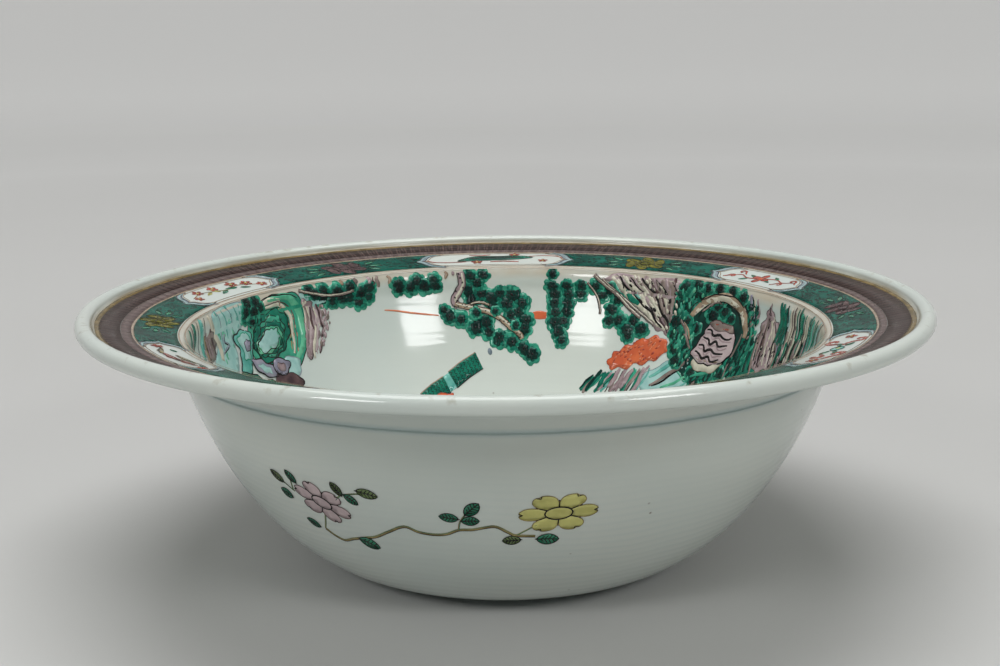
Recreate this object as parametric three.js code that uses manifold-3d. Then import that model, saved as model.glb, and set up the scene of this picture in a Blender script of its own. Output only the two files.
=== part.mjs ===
// Porcelain basin with a wide sloping rim, painted in green-family enamels over the glaze.
// The fired body is one turned piece. Each enamel is a thin raised layer laid on its glaze.
// Millimetres, +Z up, origin at the middle of the foot, front towards -Y.
import * as THREE from 'three';
import { mergeVertices } from 'three/addons/utils/BufferGeometryUtils.js';
import Module from 'manifold-3d';

const wasm = await Module();
wasm.setup();

const degree = Math.PI / 180;

// Rim and rolled lip
const rimRadius = 190;
const lipHeight = 116.5;
const lipRadius = 3.6;
const rimSlope = 12.5 * degree;
const rimThicknessAtLip = 4;
const rimThicknessAtWell = 6;

// Well
const wellRadius = 141.3;
const wallThickness = 6;
const shoulderRound = 5;
const lipBlend = 0.8;
const wallDrop = 12.2;
const wallLean = 16.6 * degree;
const wallTopPull = 68.8;
const wallFootPull = 14.3;
const bellyRadius = 76.5;
const floorThickness = 7;
const floorDish = 0.3;
const grooveDepth = 0.5;
const grooveWidth = 1.6;
const underRimRound = 1.5;

// Foot
const footRadius = 71;
const footWidth = 5;
const footHeight = 3.3;
const footRound = 0.7;
const footFlare = 1.5;
const baseRecess = 4.2;
const baseCorner = 1.5;

// Enamels on the rim. The bands share out what the thin line leaves of the flange.
const enamelThickness = 0.4;
const enamelGap = 0.3;
const rimLineWidth = 1;
const rimLineInset = 1.4;
const hatchedInset = 1.8;
const groundInset = 1;
const bandGap = 0.4;
const hatchedShare = 0.2;
const paleShare = 0.19;
const cartoucheCount = 6;
const cartoucheTurn = 2 * degree;
const cartoucheLength = 66;
const cartoucheBorder = 1.2;
const cartoucheShoulder = 13;
const stemWidth = 0.9;

// Enamels on the walls
const branchWidth = 1.3;
const knotWidth = 1.8;
const petalCount = 6;
const petalDip = 0.26;
const bloomMargin = 1.05;
const heartShare = 0.24;
const heartOpening = 0.3;

const segments = 56;
const wallSteps = 8;
const lipSteps = 6;
const bloomSides = 6;

// Porcelain profile, as radius and height
const rimTop = (radius) => lipHeight + (radius - rimRadius + 2 * lipRadius) * Math.tan(rimSlope);
const rimUnder = (radius) => {
  const share = (radius - wellRadius) / (rimRadius - lipRadius - wellRadius);
  return rimTop(radius) - THREE.MathUtils.lerp(rimThicknessAtWell, rimThicknessAtLip, share);
};
const point = (radius, height) => new THREE.Vector2(radius, height);
const wallTop = point(wellRadius + wallThickness, rimTop(wellRadius) - wallDrop);
const outerCurve = new THREE.CubicBezierCurve(
  wallTop,
  point(wallTop.x - wallTopPull * Math.sin(wallLean), wallTop.y - wallTopPull * Math.cos(wallLean)),
  point(bellyRadius + wallFootPull, footHeight),
  point(bellyRadius, footHeight),
);
const outerWall = outerCurve.getPoints(wallSteps);
const innerWall = outerWall.map((at, step) => {
  const along = outerCurve.getTangent(step / wallSteps);
  const thickness = THREE.MathUtils.lerp(wallThickness, floorThickness, step / wallSteps);
  return point(at.x + along.y * thickness, at.y - along.x * thickness);
});
const shoulder = new THREE.QuadraticBezierCurve(
  point(wellRadius + shoulderRound, rimTop(wellRadius + shoulderRound)),
  point(wellRadius, rimTop(wellRadius)),
  innerWall[0],
).getPoints(3).slice(0, 3);

function bodyProfile() {
  const arc = (from, to) => Array.from({ length: lipSteps + 1 }, (_, step) => {
    const turn = THREE.MathUtils.lerp(from, to, step / lipSteps);
    const centre = rimRadius - lipRadius;
    return point(centre + lipRadius * Math.cos(turn), lipHeight + lipRadius * Math.sin(turn));
  });
  const underFillet = new THREE.QuadraticBezierCurve(
    point(wallTop.x + grooveDepth, wallTop.y + grooveWidth),
    point(wallTop.x + underRimRound, rimUnder(wallTop.x)),
    point(wallTop.x + 2 * shoulderRound, rimUnder(wallTop.x + 2 * shoulderRound)),
  );
  const lipStart = rimRadius - 2 * lipRadius - lipBlend;
  return [
    point(0, baseRecess),
    point(footRadius - footWidth - baseCorner, baseRecess),
    point(footRadius - footWidth, footRound),
    point(footRadius - footWidth + footRound, 0),
    point(footRadius - footRound, 0),
    point(footRadius, footRound),
    point(footRadius + footFlare, footHeight - footRound / 2),
    ...outerWall.slice().reverse(),
    point(wallTop.x - grooveDepth, wallTop.y + grooveWidth / 2),
    ...underFillet.getPoints(3),
    ...arc(-100 * degree, 168 * degree),
    point(lipStart, rimTop(lipStart)),
    ...shoulder,
    ...innerWall,
    point(0, footHeight + floorThickness - floorDish),
  ];
}

// Geometry helpers
function turned(profile) {
  return new THREE.LatheGeometry(profile, segments).rotateX(Math.PI / 2);
}

function toSolid(geometry) {
  const bare = new THREE.BufferGeometry();
  bare.setAttribute('position', geometry.getAttribute('position'));
  bare.setIndex(geometry.getIndex());
  const merged = mergeVertices(bare, 1e-4);
  const corners = merged.getAttribute('position').array;
  const faces = Array.from(merged.getIndex().array);
  const triangles = [];
  for (let i = 0; i < faces.length; i += 3) {
    const [a, b, c] = faces.slice(i, i + 3);
    if (a !== b && b !== c && c !== a) triangles.push(a, b, c);
  }
  const at = (vertex) => new THREE.Vector3().fromArray(corners, vertex * 3);
  let volume = 0;
  for (let i = 0; i < triangles.length; i += 3) {
    volume += at(triangles[i]).dot(at(triangles[i + 1]).cross(at(triangles[i + 2])));
  }
  if (volume < 0) triangles.reverse();
  return new wasm.Manifold(new wasm.Mesh({
    numProp: 3,
    vertProperties: new Float32Array(corners),
    triVerts: new Uint32Array(triangles),
  }));
}

function toGeometry(solid) {
  const mesh = solid.getMesh();
  const geometry = new THREE.BufferGeometry();
  geometry.setAttribute('position', new THREE.BufferAttribute(mesh.vertProperties, 3));
  geometry.setIndex(new THREE.BufferAttribute(mesh.triVerts, 1));
  geometry.computeVertexNormals();
  return geometry;
}

const basin = new THREE.Group();

function add(name, solid, finish) {
  const material = new THREE.MeshStandardMaterial({ metalness: 0, ...finish });
  const mesh = new THREE.Mesh(toGeometry(solid), material);
  mesh.name = name;
  basin.add(mesh);
}

// A closed ring that follows a stretch of profile at the enamel's gap and thickness
function layer(stretch) {
  const shifted = (distance) => stretch.map((at, index) => {
    const before = stretch[Math.max(index - 1, 0)];
    const after = stretch[Math.min(index + 1, stretch.length - 1)];
    const along = after.clone().sub(before).normalize();
    return point(at.x - along.y * distance, at.y + along.x * distance);
  });
  const near = shifted(enamelGap);
  const far = shifted(enamelGap + enamelThickness);
  return toSolid(turned([...near, ...far.reverse(), near[0].clone()]));
}

function rimRing(from, to) {
  return layer([point(from, rimTop(from)), point(to, rimTop(to))]);
}

// Fired body
const porcelain = { color: 0xdfe6e2, roughness: 0.16 };
add('porcelain_body', toSolid(turned(bodyProfile())), porcelain);

// Rim bands, from the lip inwards
const lineOuter = rimRadius - 2 * lipRadius - rimLineInset;
const hatchedOuter = lineOuter - rimLineWidth - hatchedInset;
const groundInner = wellRadius + shoulderRound + groundInset;
const bandRoom = hatchedOuter - groundInner;
const hatchedInner = hatchedOuter - bandRoom * hatchedShare;
const paleOuter = hatchedInner - bandGap;
const paleInner = paleOuter - bandRoom * paleShare;
const groundOuter = paleInner - bandGap;
const groundMiddle = (groundOuter + groundInner) / 2;
const halfGround = (groundOuter - groundInner) / 2;

add('rim_line', rimRing(lineOuter - rimLineWidth, lineOuter), { color: 0x8a6a4a, roughness: 0.4 });
add('hatched_band', rimRing(hatchedInner, hatchedOuter), { color: 0x4a3538, roughness: 0.3 });
add('pale_band', rimRing(paleInner, paleOuter), { color: 0x8a7674, roughness: 0.3 });

// Cartouches and the stippled ground between them. Outlines are drawn as arc length and
// distance from the band's middle, then bent round the rim.
const bend = (along, across, turn) => {
  const angle = turn + along / groundMiddle;
  const radius = groundMiddle + across;
  return point(radius * Math.sin(angle), -radius * Math.cos(angle));
};

function cartouche(margin) {
  const end = cartoucheLength / 2 + margin;
  const side = halfGround + margin;
  const flatEnd = end - cartoucheShoulder;
  const bracket = new THREE.CubicBezierCurve(
    point(end, 0),
    point(end - cartoucheShoulder * 0.4, side * 0.1),
    point(end - cartoucheShoulder * 0.15, side),
    point(flatEnd, side),
  );
  const upper = [...bracket.getPoints(3), point(flatEnd / 3, side)];
  const mirrored = (x, y) => upper.map((p) => point(p.x * x, p.y * y));
  return [
    ...upper,
    ...mirrored(-1, 1).reverse(),
    ...mirrored(-1, -1).slice(1),
    ...mirrored(1, -1).reverse().slice(0, -1),
  ];
}

function upright(outline) {
  const shape = new THREE.Shape(outline);
  const above = lipHeight + 2 * lipRadius;
  return toSolid(new THREE.ExtrudeGeometry(shape, { depth: above, bevelEnabled: false }));
}

function disc(along, across, radius, turn) {
  return Array.from({ length: bloomSides }, (_, side) => {
    const angle = 2 * Math.PI * side / bloomSides;
    return bend(along + radius * Math.cos(angle), across + radius * Math.sin(angle), turn);
  });
}

function ribbon(points, width) {
  const curve = new THREE.SplineCurve(points);
  const steps = points.length * 2;
  const edge = (side) => Array.from({ length: steps + 1 }, (_, step) => {
    const at = curve.getPoint(step / steps);
    const along = curve.getTangent(step / steps);
    return point(at.x - side * along.y * width / 2, at.y + side * along.x * width / 2);
  });
  return [...edge(-1), ...edge(1).reverse()];
}

const groundRing = rimRing(groundInner, groundOuter);
const cartoucheStep = 2 * Math.PI / cartoucheCount;
// A sprig's places, as shares of half the cartouche's length and half its width
const sprigStem = [[-0.67, -0.22], [-0.45, 0.16], [0, -0.18], [0.45, 0.2], [0.67, -0.11]];
const sprigBlooms = [[-0.45, 0.16, 0.31], [0, -0.18, 0.35], [0.45, 0.2, 0.29]];

for (let index = 0; index < cartoucheCount; index += 1) {
  const turn = cartoucheTurn + index * cartoucheStep;
  const bent = (margin, at) => cartouche(margin).map((p) => bend(p.x, p.y, at));
  const border = upright(bent(0, turn)).subtract(upright(bent(-cartoucheBorder, turn)));
  add(`cartouche_border_${index + 1}`, groundRing.intersect(border), { color: 0x6f8796, roughness: 0.25 });

  const spot = ([along, across]) => [along * cartoucheLength / 2, across * halfGround];
  let sprig = upright(ribbon(sprigStem.map((at) => bend(...spot(at), turn)), stemWidth));
  for (const [along, across, radius] of sprigBlooms) {
    sprig = sprig.add(upright(disc(...spot([along, across]), radius * halfGround, turn)));
  }
  add(`cartouche_sprig_${index + 1}`, groundRing.intersect(sprig), { color: 0xa03a24, roughness: 0.35 });

  const corner = (angle) => point(2 * rimRadius * Math.sin(angle), -2 * rimRadius * Math.cos(angle));
  const wedge = upright([point(0, 0), corner(turn), corner(turn + cartoucheStep)]);
  const panel = groundRing.intersect(wedge)
    .subtract(upright(bent(bandGap, turn)))
    .subtract(upright(bent(bandGap, turn + cartoucheStep)));
  add(`green_ground_${index + 1}`, panel, { color: 0x1f6a4c, roughness: 0.3 });
}

// Wall painting. Outlines are given as degrees from the front and height, and pressed onto
// the wall square to the middle of the design. Heights, lengths and widths in the designs
// are in hundredths of the lip's height.
const wallRadius = (height, wall) => {
  const above = wall.findIndex((at) => at.y < height);
  const [high, low] = [wall[Math.max(above - 1, 0)], wall[Math.max(above, 1)]];
  const share = THREE.MathUtils.clamp((height - low.y) / (high.y - low.y), 0, 1);
  return THREE.MathUtils.lerp(low.x, high.x, share);
};

function painter(wall, middle) {
  const place = ([angle, height]) => {
    const side = wallRadius(height, wall) * Math.sin((angle - middle) * degree);
    return point(side, height);
  };
  const press = (outline) => {
    const shape = new THREE.Shape(outline);
    const block = new THREE.ExtrudeGeometry(shape, { depth: rimRadius, bevelEnabled: false });
    return toSolid(block.rotateX(Math.PI / 2).rotateZ(middle * degree));
  };
  return { place, press };
}

const hundredth = lipHeight / 100;
const outerLayer = layer(outerWall);

function leaf(base, length, width, lean) {
  const shape = new THREE.Shape();
  shape.moveTo(0, 0);
  shape.quadraticCurveTo(length * 0.45, width * 0.95, length, 0);
  shape.quadraticCurveTo(length * 0.45, -width * 0.95, 0, 0);
  const outline = shape.getPoints(3).slice(0, -1);
  return outline.map((p) => p.rotateAround(point(0, 0), lean * degree).add(base));
}

// A flower head's outline, or a plain oval where the dip between petals is 0
function petals(centre, width, height, dip, lean) {
  const steps = petalCount * (dip > 0 ? 4 : 2);
  return Array.from({ length: steps }, (_, step) => {
    const angle = 2 * Math.PI * step / steps;
    const reach = 1 - dip * (1 - Math.abs(Math.sin(petalCount * angle / 2)));
    const across = width / 2 * reach * Math.cos(angle);
    const up = height / 2 * reach * Math.sin(angle);
    return point(across, up).rotateAround(point(0, 0), lean * degree).add(centre);
  });
}

const leafGreen = { color: 0x1e5a3c, roughness: 0.3 };
const branchBrown = { color: 0x6a5c38, roughness: 0.4 };
const branchRoute = [
  [-35.5, 37.7], [-32.1, 33.8], [-28, 34.8], [-23.4, 39], [-17.6, 44.6], [-11.7, 42.4],
  [-8.1, 45], [-2.6, 46.6], [1.2, 42.7], [3, 45.2],
];
// Each sprig: its name, its foot, and its leaves as length, width and lean
const sprigs = [
  ['upper_left', [-39.3, 52.8], [[7.7, 3.9, 118], [6.9, 3.8, 75], [6.5, 3.6, 178]]],
  ['upper_right', [-29.2, 53.7], [[7.3, 3.8, 28], [6.4, 3.4, 78], [7.4, 3.6, -12]]],
  ['under_bloom', [-36.2, 40], [[6.9, 3.9, 165]]],
  ['low', [-27.4, 34.3], [[6.9, 3.9, -12]]],
  ['middle', [-8, 46.9], [[7.2, 3.9, 60], [6.5, 3.8, 165], [6.5, 3.6, -8]]],
  ['right_inner', [-0.4, 41.5], [[6.5, 3.9, 188]]],
  ['right_outer', [4.6, 41.7], [[7.2, 4.1, -4]]],
];
// Each bloom: its name, its middle, width, height, lean and colour
const blooms = [
  ['mauve', [-33.1, 49.8], 23, 16.5, -28, 0x9a8696],
  ['yellow', [8.3, 51.8], 24.9, 16, 2, 0xc2bc62],
];
const sprayMiddle = -14;
const sprayTurns = { front: 0, back: 180 };

for (const [side, turn] of Object.entries(sprayTurns)) {
  const { place, press } = painter(outerWall, sprayMiddle + turn);
  const at = ([angle, height]) => place([angle + turn, height * hundredth]);

  const flower = ([, middle, width, height, lean], share, dip) => (
    petals(at(middle), width * hundredth * share, height * hundredth * share, dip, lean));
  const bloomClear = blooms.map((bloom) => press(flower(bloom, bloomMargin, petalDip)));
  const clearOfBlooms = (solid) => bloomClear.reduce((rest, bloom) => rest.subtract(bloom), solid);

  const branch = press(ribbon(branchRoute.map(at), branchWidth));
  const branchClear = press(ribbon(branchRoute.map(at), branchWidth + 2 * bandGap));
  add(`${side}_branch`, outerLayer.intersect(clearOfBlooms(branch)), branchBrown);

  for (const [name, foot, leaves] of sprigs) {
    const base = at(foot);
    const knot = press(petals(base, knotWidth, knotWidth, 0, 0));
    const solid = leaves.reduce((all, [length, width, lean]) => (
      all.add(press(leaf(base, length * hundredth, width * hundredth, lean)))), knot);
    const painted = outerLayer.intersect(clearOfBlooms(solid).subtract(branchClear));
    // Where the branch cuts a leaf off its sprig, only the sprig's main body is kept
    const largest = painted.decompose().sort((a, b) => b.volume() - a.volume())[0];
    add(`${side}_leaves_${name}`, largest, leafGreen);
  }

  for (const bloom of blooms) {
    const [name] = bloom;
    const finish = { color: bloom.at(-1), roughness: 0.35 };
    const head = press(flower(bloom, 1, petalDip)).subtract(press(flower(bloom, heartOpening, 0)));
    const heart = press(flower(bloom, heartShare, 0));
    add(`${side}_${name}_bloom`, outerLayer.intersect(head), finish);
    add(`${side}_${name}_heart`, outerLayer.intersect(heart), finish);
  }
}

// Landscape on the inner wall, each as a closed outline of degrees from the front and height
const paintedWall = [shoulder.at(-1), ...innerWall.slice(0, wallSteps)];
const innerLayer = layer(paintedWall.slice().reverse());
const landscape = [
  ['rocks_left', 0x3f8f86, [[-131, 53], [-130, 74], [-126, 86], [-115, 84], [-104, 87], [-99, 74],
    [-101, 58], [-108, 52], [-118, 47]]],
  ['pine_left', 0x1b5740, [[-150, 83], [-146, 87], [-140, 86], [-134.5, 87], [-134, 82],
    [-139, 78], [-146, 77]]],
  ['pine_centre', 0x1b5740, [[-166, 73], [-171, 79], [-172, 87], [-178, 87], [-186, 80], [-189, 71],
    [-188, 56], [-184, 55], [-178, 62], [-172, 68]]],
  ['pine_right', 0x1b5740, [[170, 84], [166, 87], [160, 86], [158, 78], [162, 74], [163, 62], [169, 62]]],
  ['rocks_right', 0x6d5a66, [[156, 82], [148, 87], [122, 86], [104, 87], [98, 72], [104, 58],
    [116, 53], [128, 58], [136, 66], [148, 72]]],
  ['red_foliage', 0xb8482c, [[154, 50], [153, 57], [147, 63], [141, 64], [139, 60], [142, 54], [148, 50]]],
  ['bank_right', 0x9fc8be, [[143, 48], [138, 54], [130, 56], [124, 52], [127, 43], [136, 41]]],
  ['bank_centre', 0x2c6f54, [[-157, 36], [-160, 39], [-169, 50], [-173, 48], [-171, 45], [-163, 34]]],
];

for (const [name, color, outline] of landscape) {
  const angles = outline.map(([angle]) => angle);
  const middle = (Math.max(...angles) + Math.min(...angles)) / 2;
  const { place, press } = painter(paintedWall, middle);
  const corners = outline.map(([angle, height]) => place([angle, height * hundredth]));
  const edge = new THREE.SplineCurve([...corners, corners[0].clone()]);
  const patch = press(edge.getPoints(outline.length * 2).slice(0, -1));
  add(name, innerLayer.intersect(patch), { color, roughness: 0.3 });
}

export default basin;
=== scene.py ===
import bisect
import math
import random

import bmesh
import bpy
from mathutils import Matrix, Vector


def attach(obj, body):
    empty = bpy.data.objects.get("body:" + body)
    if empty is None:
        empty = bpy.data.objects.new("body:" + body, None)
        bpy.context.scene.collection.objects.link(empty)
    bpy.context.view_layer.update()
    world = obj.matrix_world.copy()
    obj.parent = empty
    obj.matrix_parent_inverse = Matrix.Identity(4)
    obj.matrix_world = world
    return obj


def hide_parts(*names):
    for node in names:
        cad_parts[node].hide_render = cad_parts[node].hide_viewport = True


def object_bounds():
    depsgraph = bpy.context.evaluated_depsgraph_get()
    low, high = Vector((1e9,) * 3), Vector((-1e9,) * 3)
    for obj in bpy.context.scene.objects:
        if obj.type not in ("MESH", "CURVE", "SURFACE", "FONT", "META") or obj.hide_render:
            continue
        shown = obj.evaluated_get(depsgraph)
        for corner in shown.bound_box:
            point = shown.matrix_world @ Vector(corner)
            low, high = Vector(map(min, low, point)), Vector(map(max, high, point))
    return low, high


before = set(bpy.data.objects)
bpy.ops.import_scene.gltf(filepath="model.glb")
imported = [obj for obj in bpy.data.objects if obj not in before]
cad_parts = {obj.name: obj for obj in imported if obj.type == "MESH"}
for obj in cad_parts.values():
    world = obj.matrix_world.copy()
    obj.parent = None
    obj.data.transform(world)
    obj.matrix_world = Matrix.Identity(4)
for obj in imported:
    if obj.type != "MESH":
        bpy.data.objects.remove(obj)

cadBox = [Vector(corner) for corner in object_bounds()]
mm = 0.001
degree = math.pi / 180
print("frame loaded:", len(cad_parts), "nodes")

# the fired basin in millimetres, its reach and height taken from the frame
basin = {
    "rimRadius": cadBox[1].x / mm,
    "lipHeight": cadBox[1].z / mm - 3.6,
    "lipRadius": 3.6,
    "rimSlope": 12.5 * degree,
    "rimThicknessAtLip": 4,
    "rimThicknessAtWell": 6,
    "wellRadius": 141.3,
    "wallThickness": 6,
    "floorThickness": 7,
    "floorDish": 0.3,
    "shoulderRound": 5,
    "lipBlend": 0.8,
    "wallDrop": 12.2,
    "wallLean": 16.6 * degree,
    "wallTopPull": 68.8,
    "wallFootPull": 14.3,
    "bellyRadius": 76.5,
    "grooveDepth": 0.35,
    "grooveWidth": 1.4,
    "underRimRound": 1.5,
    "footRadius": 71,
    "footWidth": 5,
    "footHeight": 3.3,
    "footRound": 0.7,
    "footFlare": 1.5,
    "baseRecess": 4.2,
    "baseCorner": 1.5,
    # steps of the curves, and corners round the basin
    "lipArc": (-100, 168),
    "lipSteps": 34,
    "wallSteps": 70,
    "turnSteps": 12,
    "underRimSteps": 6,
    "roundSteps": 8,
    "corners": 288,
}


# picking and finishing, as by hand
def deselectAll():
    if bpy.context.mode != "OBJECT":
        bpy.ops.object.mode_set(mode="OBJECT")
    bpy.ops.object.select_all(action="DESELECT")


def makeActive(piece):
    deselectAll()
    piece.select_set(True)
    bpy.context.view_layer.objects.active = piece


def emptyPiece(name):
    deselectAll()
    bpy.ops.object.add(type="MESH")
    piece = bpy.context.active_object
    piece.name = piece.data.name = name
    bpy.ops.object.mode_set(mode="EDIT")
    return piece


def applyModifier(piece, kind, **settings):
    makeActive(piece)
    modifier = piece.modifiers.new(kind.title(), kind)
    for key, value in settings.items():
        setattr(modifier, key, value)
    bpy.ops.object.modifier_apply(modifier=modifier.name)


def closeSeams(piece, smoothAngle):
    makeActive(piece)
    bpy.ops.object.mode_set(mode="EDIT")
    bpy.ops.mesh.select_all(action="SELECT")
    bpy.ops.mesh.remove_doubles(threshold=0.0002 * mm)
    bpy.ops.mesh.normals_make_consistent(inside=False)
    bpy.ops.object.mode_set(mode="OBJECT")
    bpy.ops.object.shade_smooth_by_angle(angle=smoothAngle * degree)


def joinFrame(piece, nodes):
    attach(piece, "root")
    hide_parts(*nodes)


# curves of the turned basin, as radius and height
def lerp(low, high, share):
    return low + (high - low) * share


def rimTop(radius):
    inLip = basin["rimRadius"] - 2 * basin["lipRadius"]
    return basin["lipHeight"] + (radius - inLip) * math.tan(basin["rimSlope"])


def rimUnder(radius):
    share = (radius - basin["wellRadius"]) / (basin["rimRadius"] - basin["lipRadius"] - basin["wellRadius"])
    return rimTop(radius) - lerp(basin["rimThicknessAtWell"], basin["rimThicknessAtLip"], share)


def bezier(handles, steps):
    order = len(handles) - 1
    line = []
    for step in range(steps + 1):
        t = step / steps
        weights = [math.comb(order, i) * (1 - t) ** (order - i) * t ** i for i in range(order + 1)]
        line.append(tuple(sum(w * h[axis] for w, h in zip(weights, handles)) for axis in (0, 1)))
    return line


def leftOf(line, index, distance):
    # the point at a distance to the left of a line, square to it
    before, after = line[max(index - 1, 0)], line[min(index + 1, len(line) - 1)]
    along = Vector((after[0] - before[0], after[1] - before[1])).normalized()
    return line[index][0] - along.y * distance, line[index][1] + along.x * distance


wallTop = (basin["wellRadius"] + basin["wallThickness"], rimTop(basin["wellRadius"]) - basin["wallDrop"])
outerWall = bezier([
    wallTop,
    (wallTop[0] - basin["wallTopPull"] * math.sin(basin["wallLean"]),
     wallTop[1] - basin["wallTopPull"] * math.cos(basin["wallLean"])),
    (basin["bellyRadius"] + basin["wallFootPull"], basin["footHeight"]),
    (basin["bellyRadius"], basin["footHeight"]),
], basin["wallSteps"])
innerWall = [
    leftOf(outerWall, step, -lerp(basin["wallThickness"], basin["floorThickness"], step / basin["wallSteps"]))
    for step in range(basin["wallSteps"] + 1)
]
shoulder = bezier([
    (basin["wellRadius"] + basin["shoulderRound"], rimTop(basin["wellRadius"] + basin["shoulderRound"])),
    (basin["wellRadius"], rimTop(basin["wellRadius"])),
    innerWall[0],
], basin["turnSteps"])[:-1]


def basinProfile():
    # from the middle of the base out and up to the lip, and down to the middle of the floor
    b = basin
    lipTurns = [lerp(*b["lipArc"], step / b["lipSteps"]) * degree for step in range(b["lipSteps"] + 1)]
    lipMiddle = b["rimRadius"] - b["lipRadius"]
    lip = [(lipMiddle + b["lipRadius"] * math.cos(turn), b["lipHeight"] + b["lipRadius"] * math.sin(turn))
           for turn in lipTurns]
    filletEnd = wallTop[0] + 2 * b["shoulderRound"]
    fillet = bezier([
        (wallTop[0] + b["grooveDepth"], wallTop[1] + b["grooveWidth"]),
        (wallTop[0] + b["underRimRound"], rimUnder(wallTop[0])),
        (filletEnd, rimUnder(filletEnd)),
    ], b["turnSteps"])
    underShares = [(step + 1) / b["underRimSteps"] for step in range(b["underRimSteps"])]
    underRim = [lerp(filletEnd, lip[0][0] - 1, share) for share in underShares]
    lipStart = b["rimRadius"] - 2 * b["lipRadius"] - b["lipBlend"]
    rimFace = [lerp(lipStart, shoulder[0][0], step / b["turnSteps"]) for step in range(b["turnSteps"])]
    footIn, footOut, footRound = b["footRadius"] - b["footWidth"], b["footRadius"], b["footRound"]
    footTurns = [step * 22.5 * degree for step in range(5)]
    footSide = bezier([
        (footOut, footRound * 1.4),
        (footOut, b["footHeight"] - 0.3),
        (footOut + b["footFlare"], b["footHeight"] - footRound / 2),
        outerWall[-1],
    ], b["roundSteps"])
    recess = bezier([(footIn - b["baseCorner"], b["baseRecess"]), (footIn, b["baseRecess"]), (footIn, footRound)],
                    b["roundSteps"])
    floor = b["footHeight"] + b["floorThickness"]
    return [
        (0, b["baseRecess"]),
        (footIn * 0.5, b["baseRecess"]),
        *recess,
        *[(footIn + footRound * (1 - math.cos(turn)), footRound * (1 - math.sin(turn))) for turn in footTurns[1:]],
        *[(footOut - footRound * (1 - math.sin(turn)), footRound * (1 - math.cos(turn))) for turn in footTurns],
        *footSide[:-1],
        *reversed(outerWall),
        (wallTop[0] - b["grooveDepth"], wallTop[1] + b["grooveWidth"] * 0.5),
        *fillet,
        *[(radius, rimUnder(radius)) for radius in underRim],
        *lip,
        *[(radius, rimTop(radius)) for radius in rimFace],
        *shoulder,
        *innerWall,
        (b["bellyRadius"] * 0.5, floor - b["floorDish"] * 0.6),
        (0, floor - b["floorDish"]),
    ]


# material nodes
def newMaterial(name):
    material = bpy.data.materials.new(name)
    material.use_nodes = True
    return material, material.node_tree, material.node_tree.nodes["Principled BSDF"].inputs


def feed(tree, socket, value):
    if isinstance(value, bpy.types.NodeSocket):
        tree.links.new(value, socket)
    elif isinstance(value, tuple) and socket.type == "RGBA":
        socket.default_value = (*value, 1)
    else:
        socket.default_value = value


def addNode(tree, kind, inputs, **settings):
    node = tree.nodes.new(kind)
    for key, value in settings.items():
        setattr(node, key, value)
    for key, value in inputs.items():
        feed(tree, node.inputs[key], value)
    return node


def calculate(tree, operation, a, b=0.0):
    return addNode(tree, "ShaderNodeMath", {0: a, 1: b}, operation=operation).outputs[0]


def plus(tree, a, b):
    return calculate(tree, "ADD", a, b)


def times(tree, a, b):
    return calculate(tree, "MULTIPLY", a, b)


def larger(tree, a, b):
    return calculate(tree, "MAXIMUM", a, b)


def wave(tree, value):
    return calculate(tree, "SINE", value)


def gapFrom(tree, value, middle):
    return calculate(tree, "ABSOLUTE", calculate(tree, "SUBTRACT", value, middle))


def ramp(tree, value, low, high):
    return addNode(tree, "ShaderNodeMapRange", {"Value": value, "From Min": low, "From Max": high}).outputs[0]


def coordinate(tree, name):
    return addNode(tree, "ShaderNodeTexCoord", {}).outputs[name]


def noise(tree, scale, detail):
    inputs = {"Vector": coordinate(tree, "Object"), "Scale": scale, "Detail": detail}
    return addNode(tree, "ShaderNodeTexNoise", inputs).outputs["Fac"]


def patches(tree, scale, detail, low, high):
    return ramp(tree, noise(tree, scale, detail), low, high)


def blend(tree, share, low, high):
    return addNode(tree, "ShaderNodeMix", {"Factor": share, 6: low, 7: high}, data_type="RGBA").outputs[2]


def bump(tree, inputs, height, distance):
    made = addNode(tree, "ShaderNodeBump", {"Height": height, "Distance": distance * mm, "Strength": 0.8})
    tree.links.new(made.outputs[0], inputs["Normal"])


def turnPlace(tree):
    # angle round the basin, radius and height, from the object's own coordinates
    x, y, z = addNode(tree, "ShaderNodeSeparateXYZ", {0: coordinate(tree, "Object")}).outputs
    radius = calculate(tree, "SQRT", plus(tree, times(tree, x, x), times(tree, y, y)))
    return calculate(tree, "ARCTAN2", y, x), radius, z


glaze = {
    "cool": (0.585, 0.655, 0.62),
    "warm": (0.65, 0.69, 0.635),
    "shoulder": (0.52, 0.45, 0.34),
    "pool": (0.42, 0.53, 0.53),
    "wear": (0.21, 0.155, 0.065),
    "speck": (0.15, 0.11, 0.075),
    "clay": (0.60, 0.50, 0.38),
    # how much of each tone shows at most
    "poolShare": 0.75,
    "speckShare": 0.7,
    "rootShare": 0.9,
    "crestShare": 0.42,
    "lineShare": 0.17,
    # patches of noise: scale, detail, and the values between which they come in
    "tonePatches": (9, 4, 0.3, 0.7),
    "creamPatches": (55, 4, 0.0, 0.75),
    "speckPatches": (31, 2, 0.58, 0.63),
    "rootPatches": (24, 5, 0.05, 0.6),
    "crestPatches": (140, 4, 0.60, 0.70),
    "linePatches": (16, 3, 0.3, 0.65),
    "satinPatches": (38, 3, -0.4, 4.6),
    # distances, radii and heights in metres between which each mark comes in
    "creamNear": (0.0042, 0.0022),
    "rimHeights": (0.101, 0.105),
    "grooveNear": (0.0021, 0.0004),
    "footHeights": (0.0065, 0.0025),
    "rootNear": (0.0030, 0.0016),
    "crestRadii": (0.183, 0.1855),
    "crestHeights": (0.1165, 0.119),
    "clayHeights": (0.0007, 0.0003),
    "thrownHeight": 0.040,
    # offsets in millimetres
    "creamOffset": 2.4,
    "rootOffset": 2.1,
    "relief": 0.022,
    "speckScale": 85.0,
    "speckSize": (0.07, 0.03),
    "turningLines": 1900.0,
    "satin": 0.62,
    "clayRoughness": 0.6,
}


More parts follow.
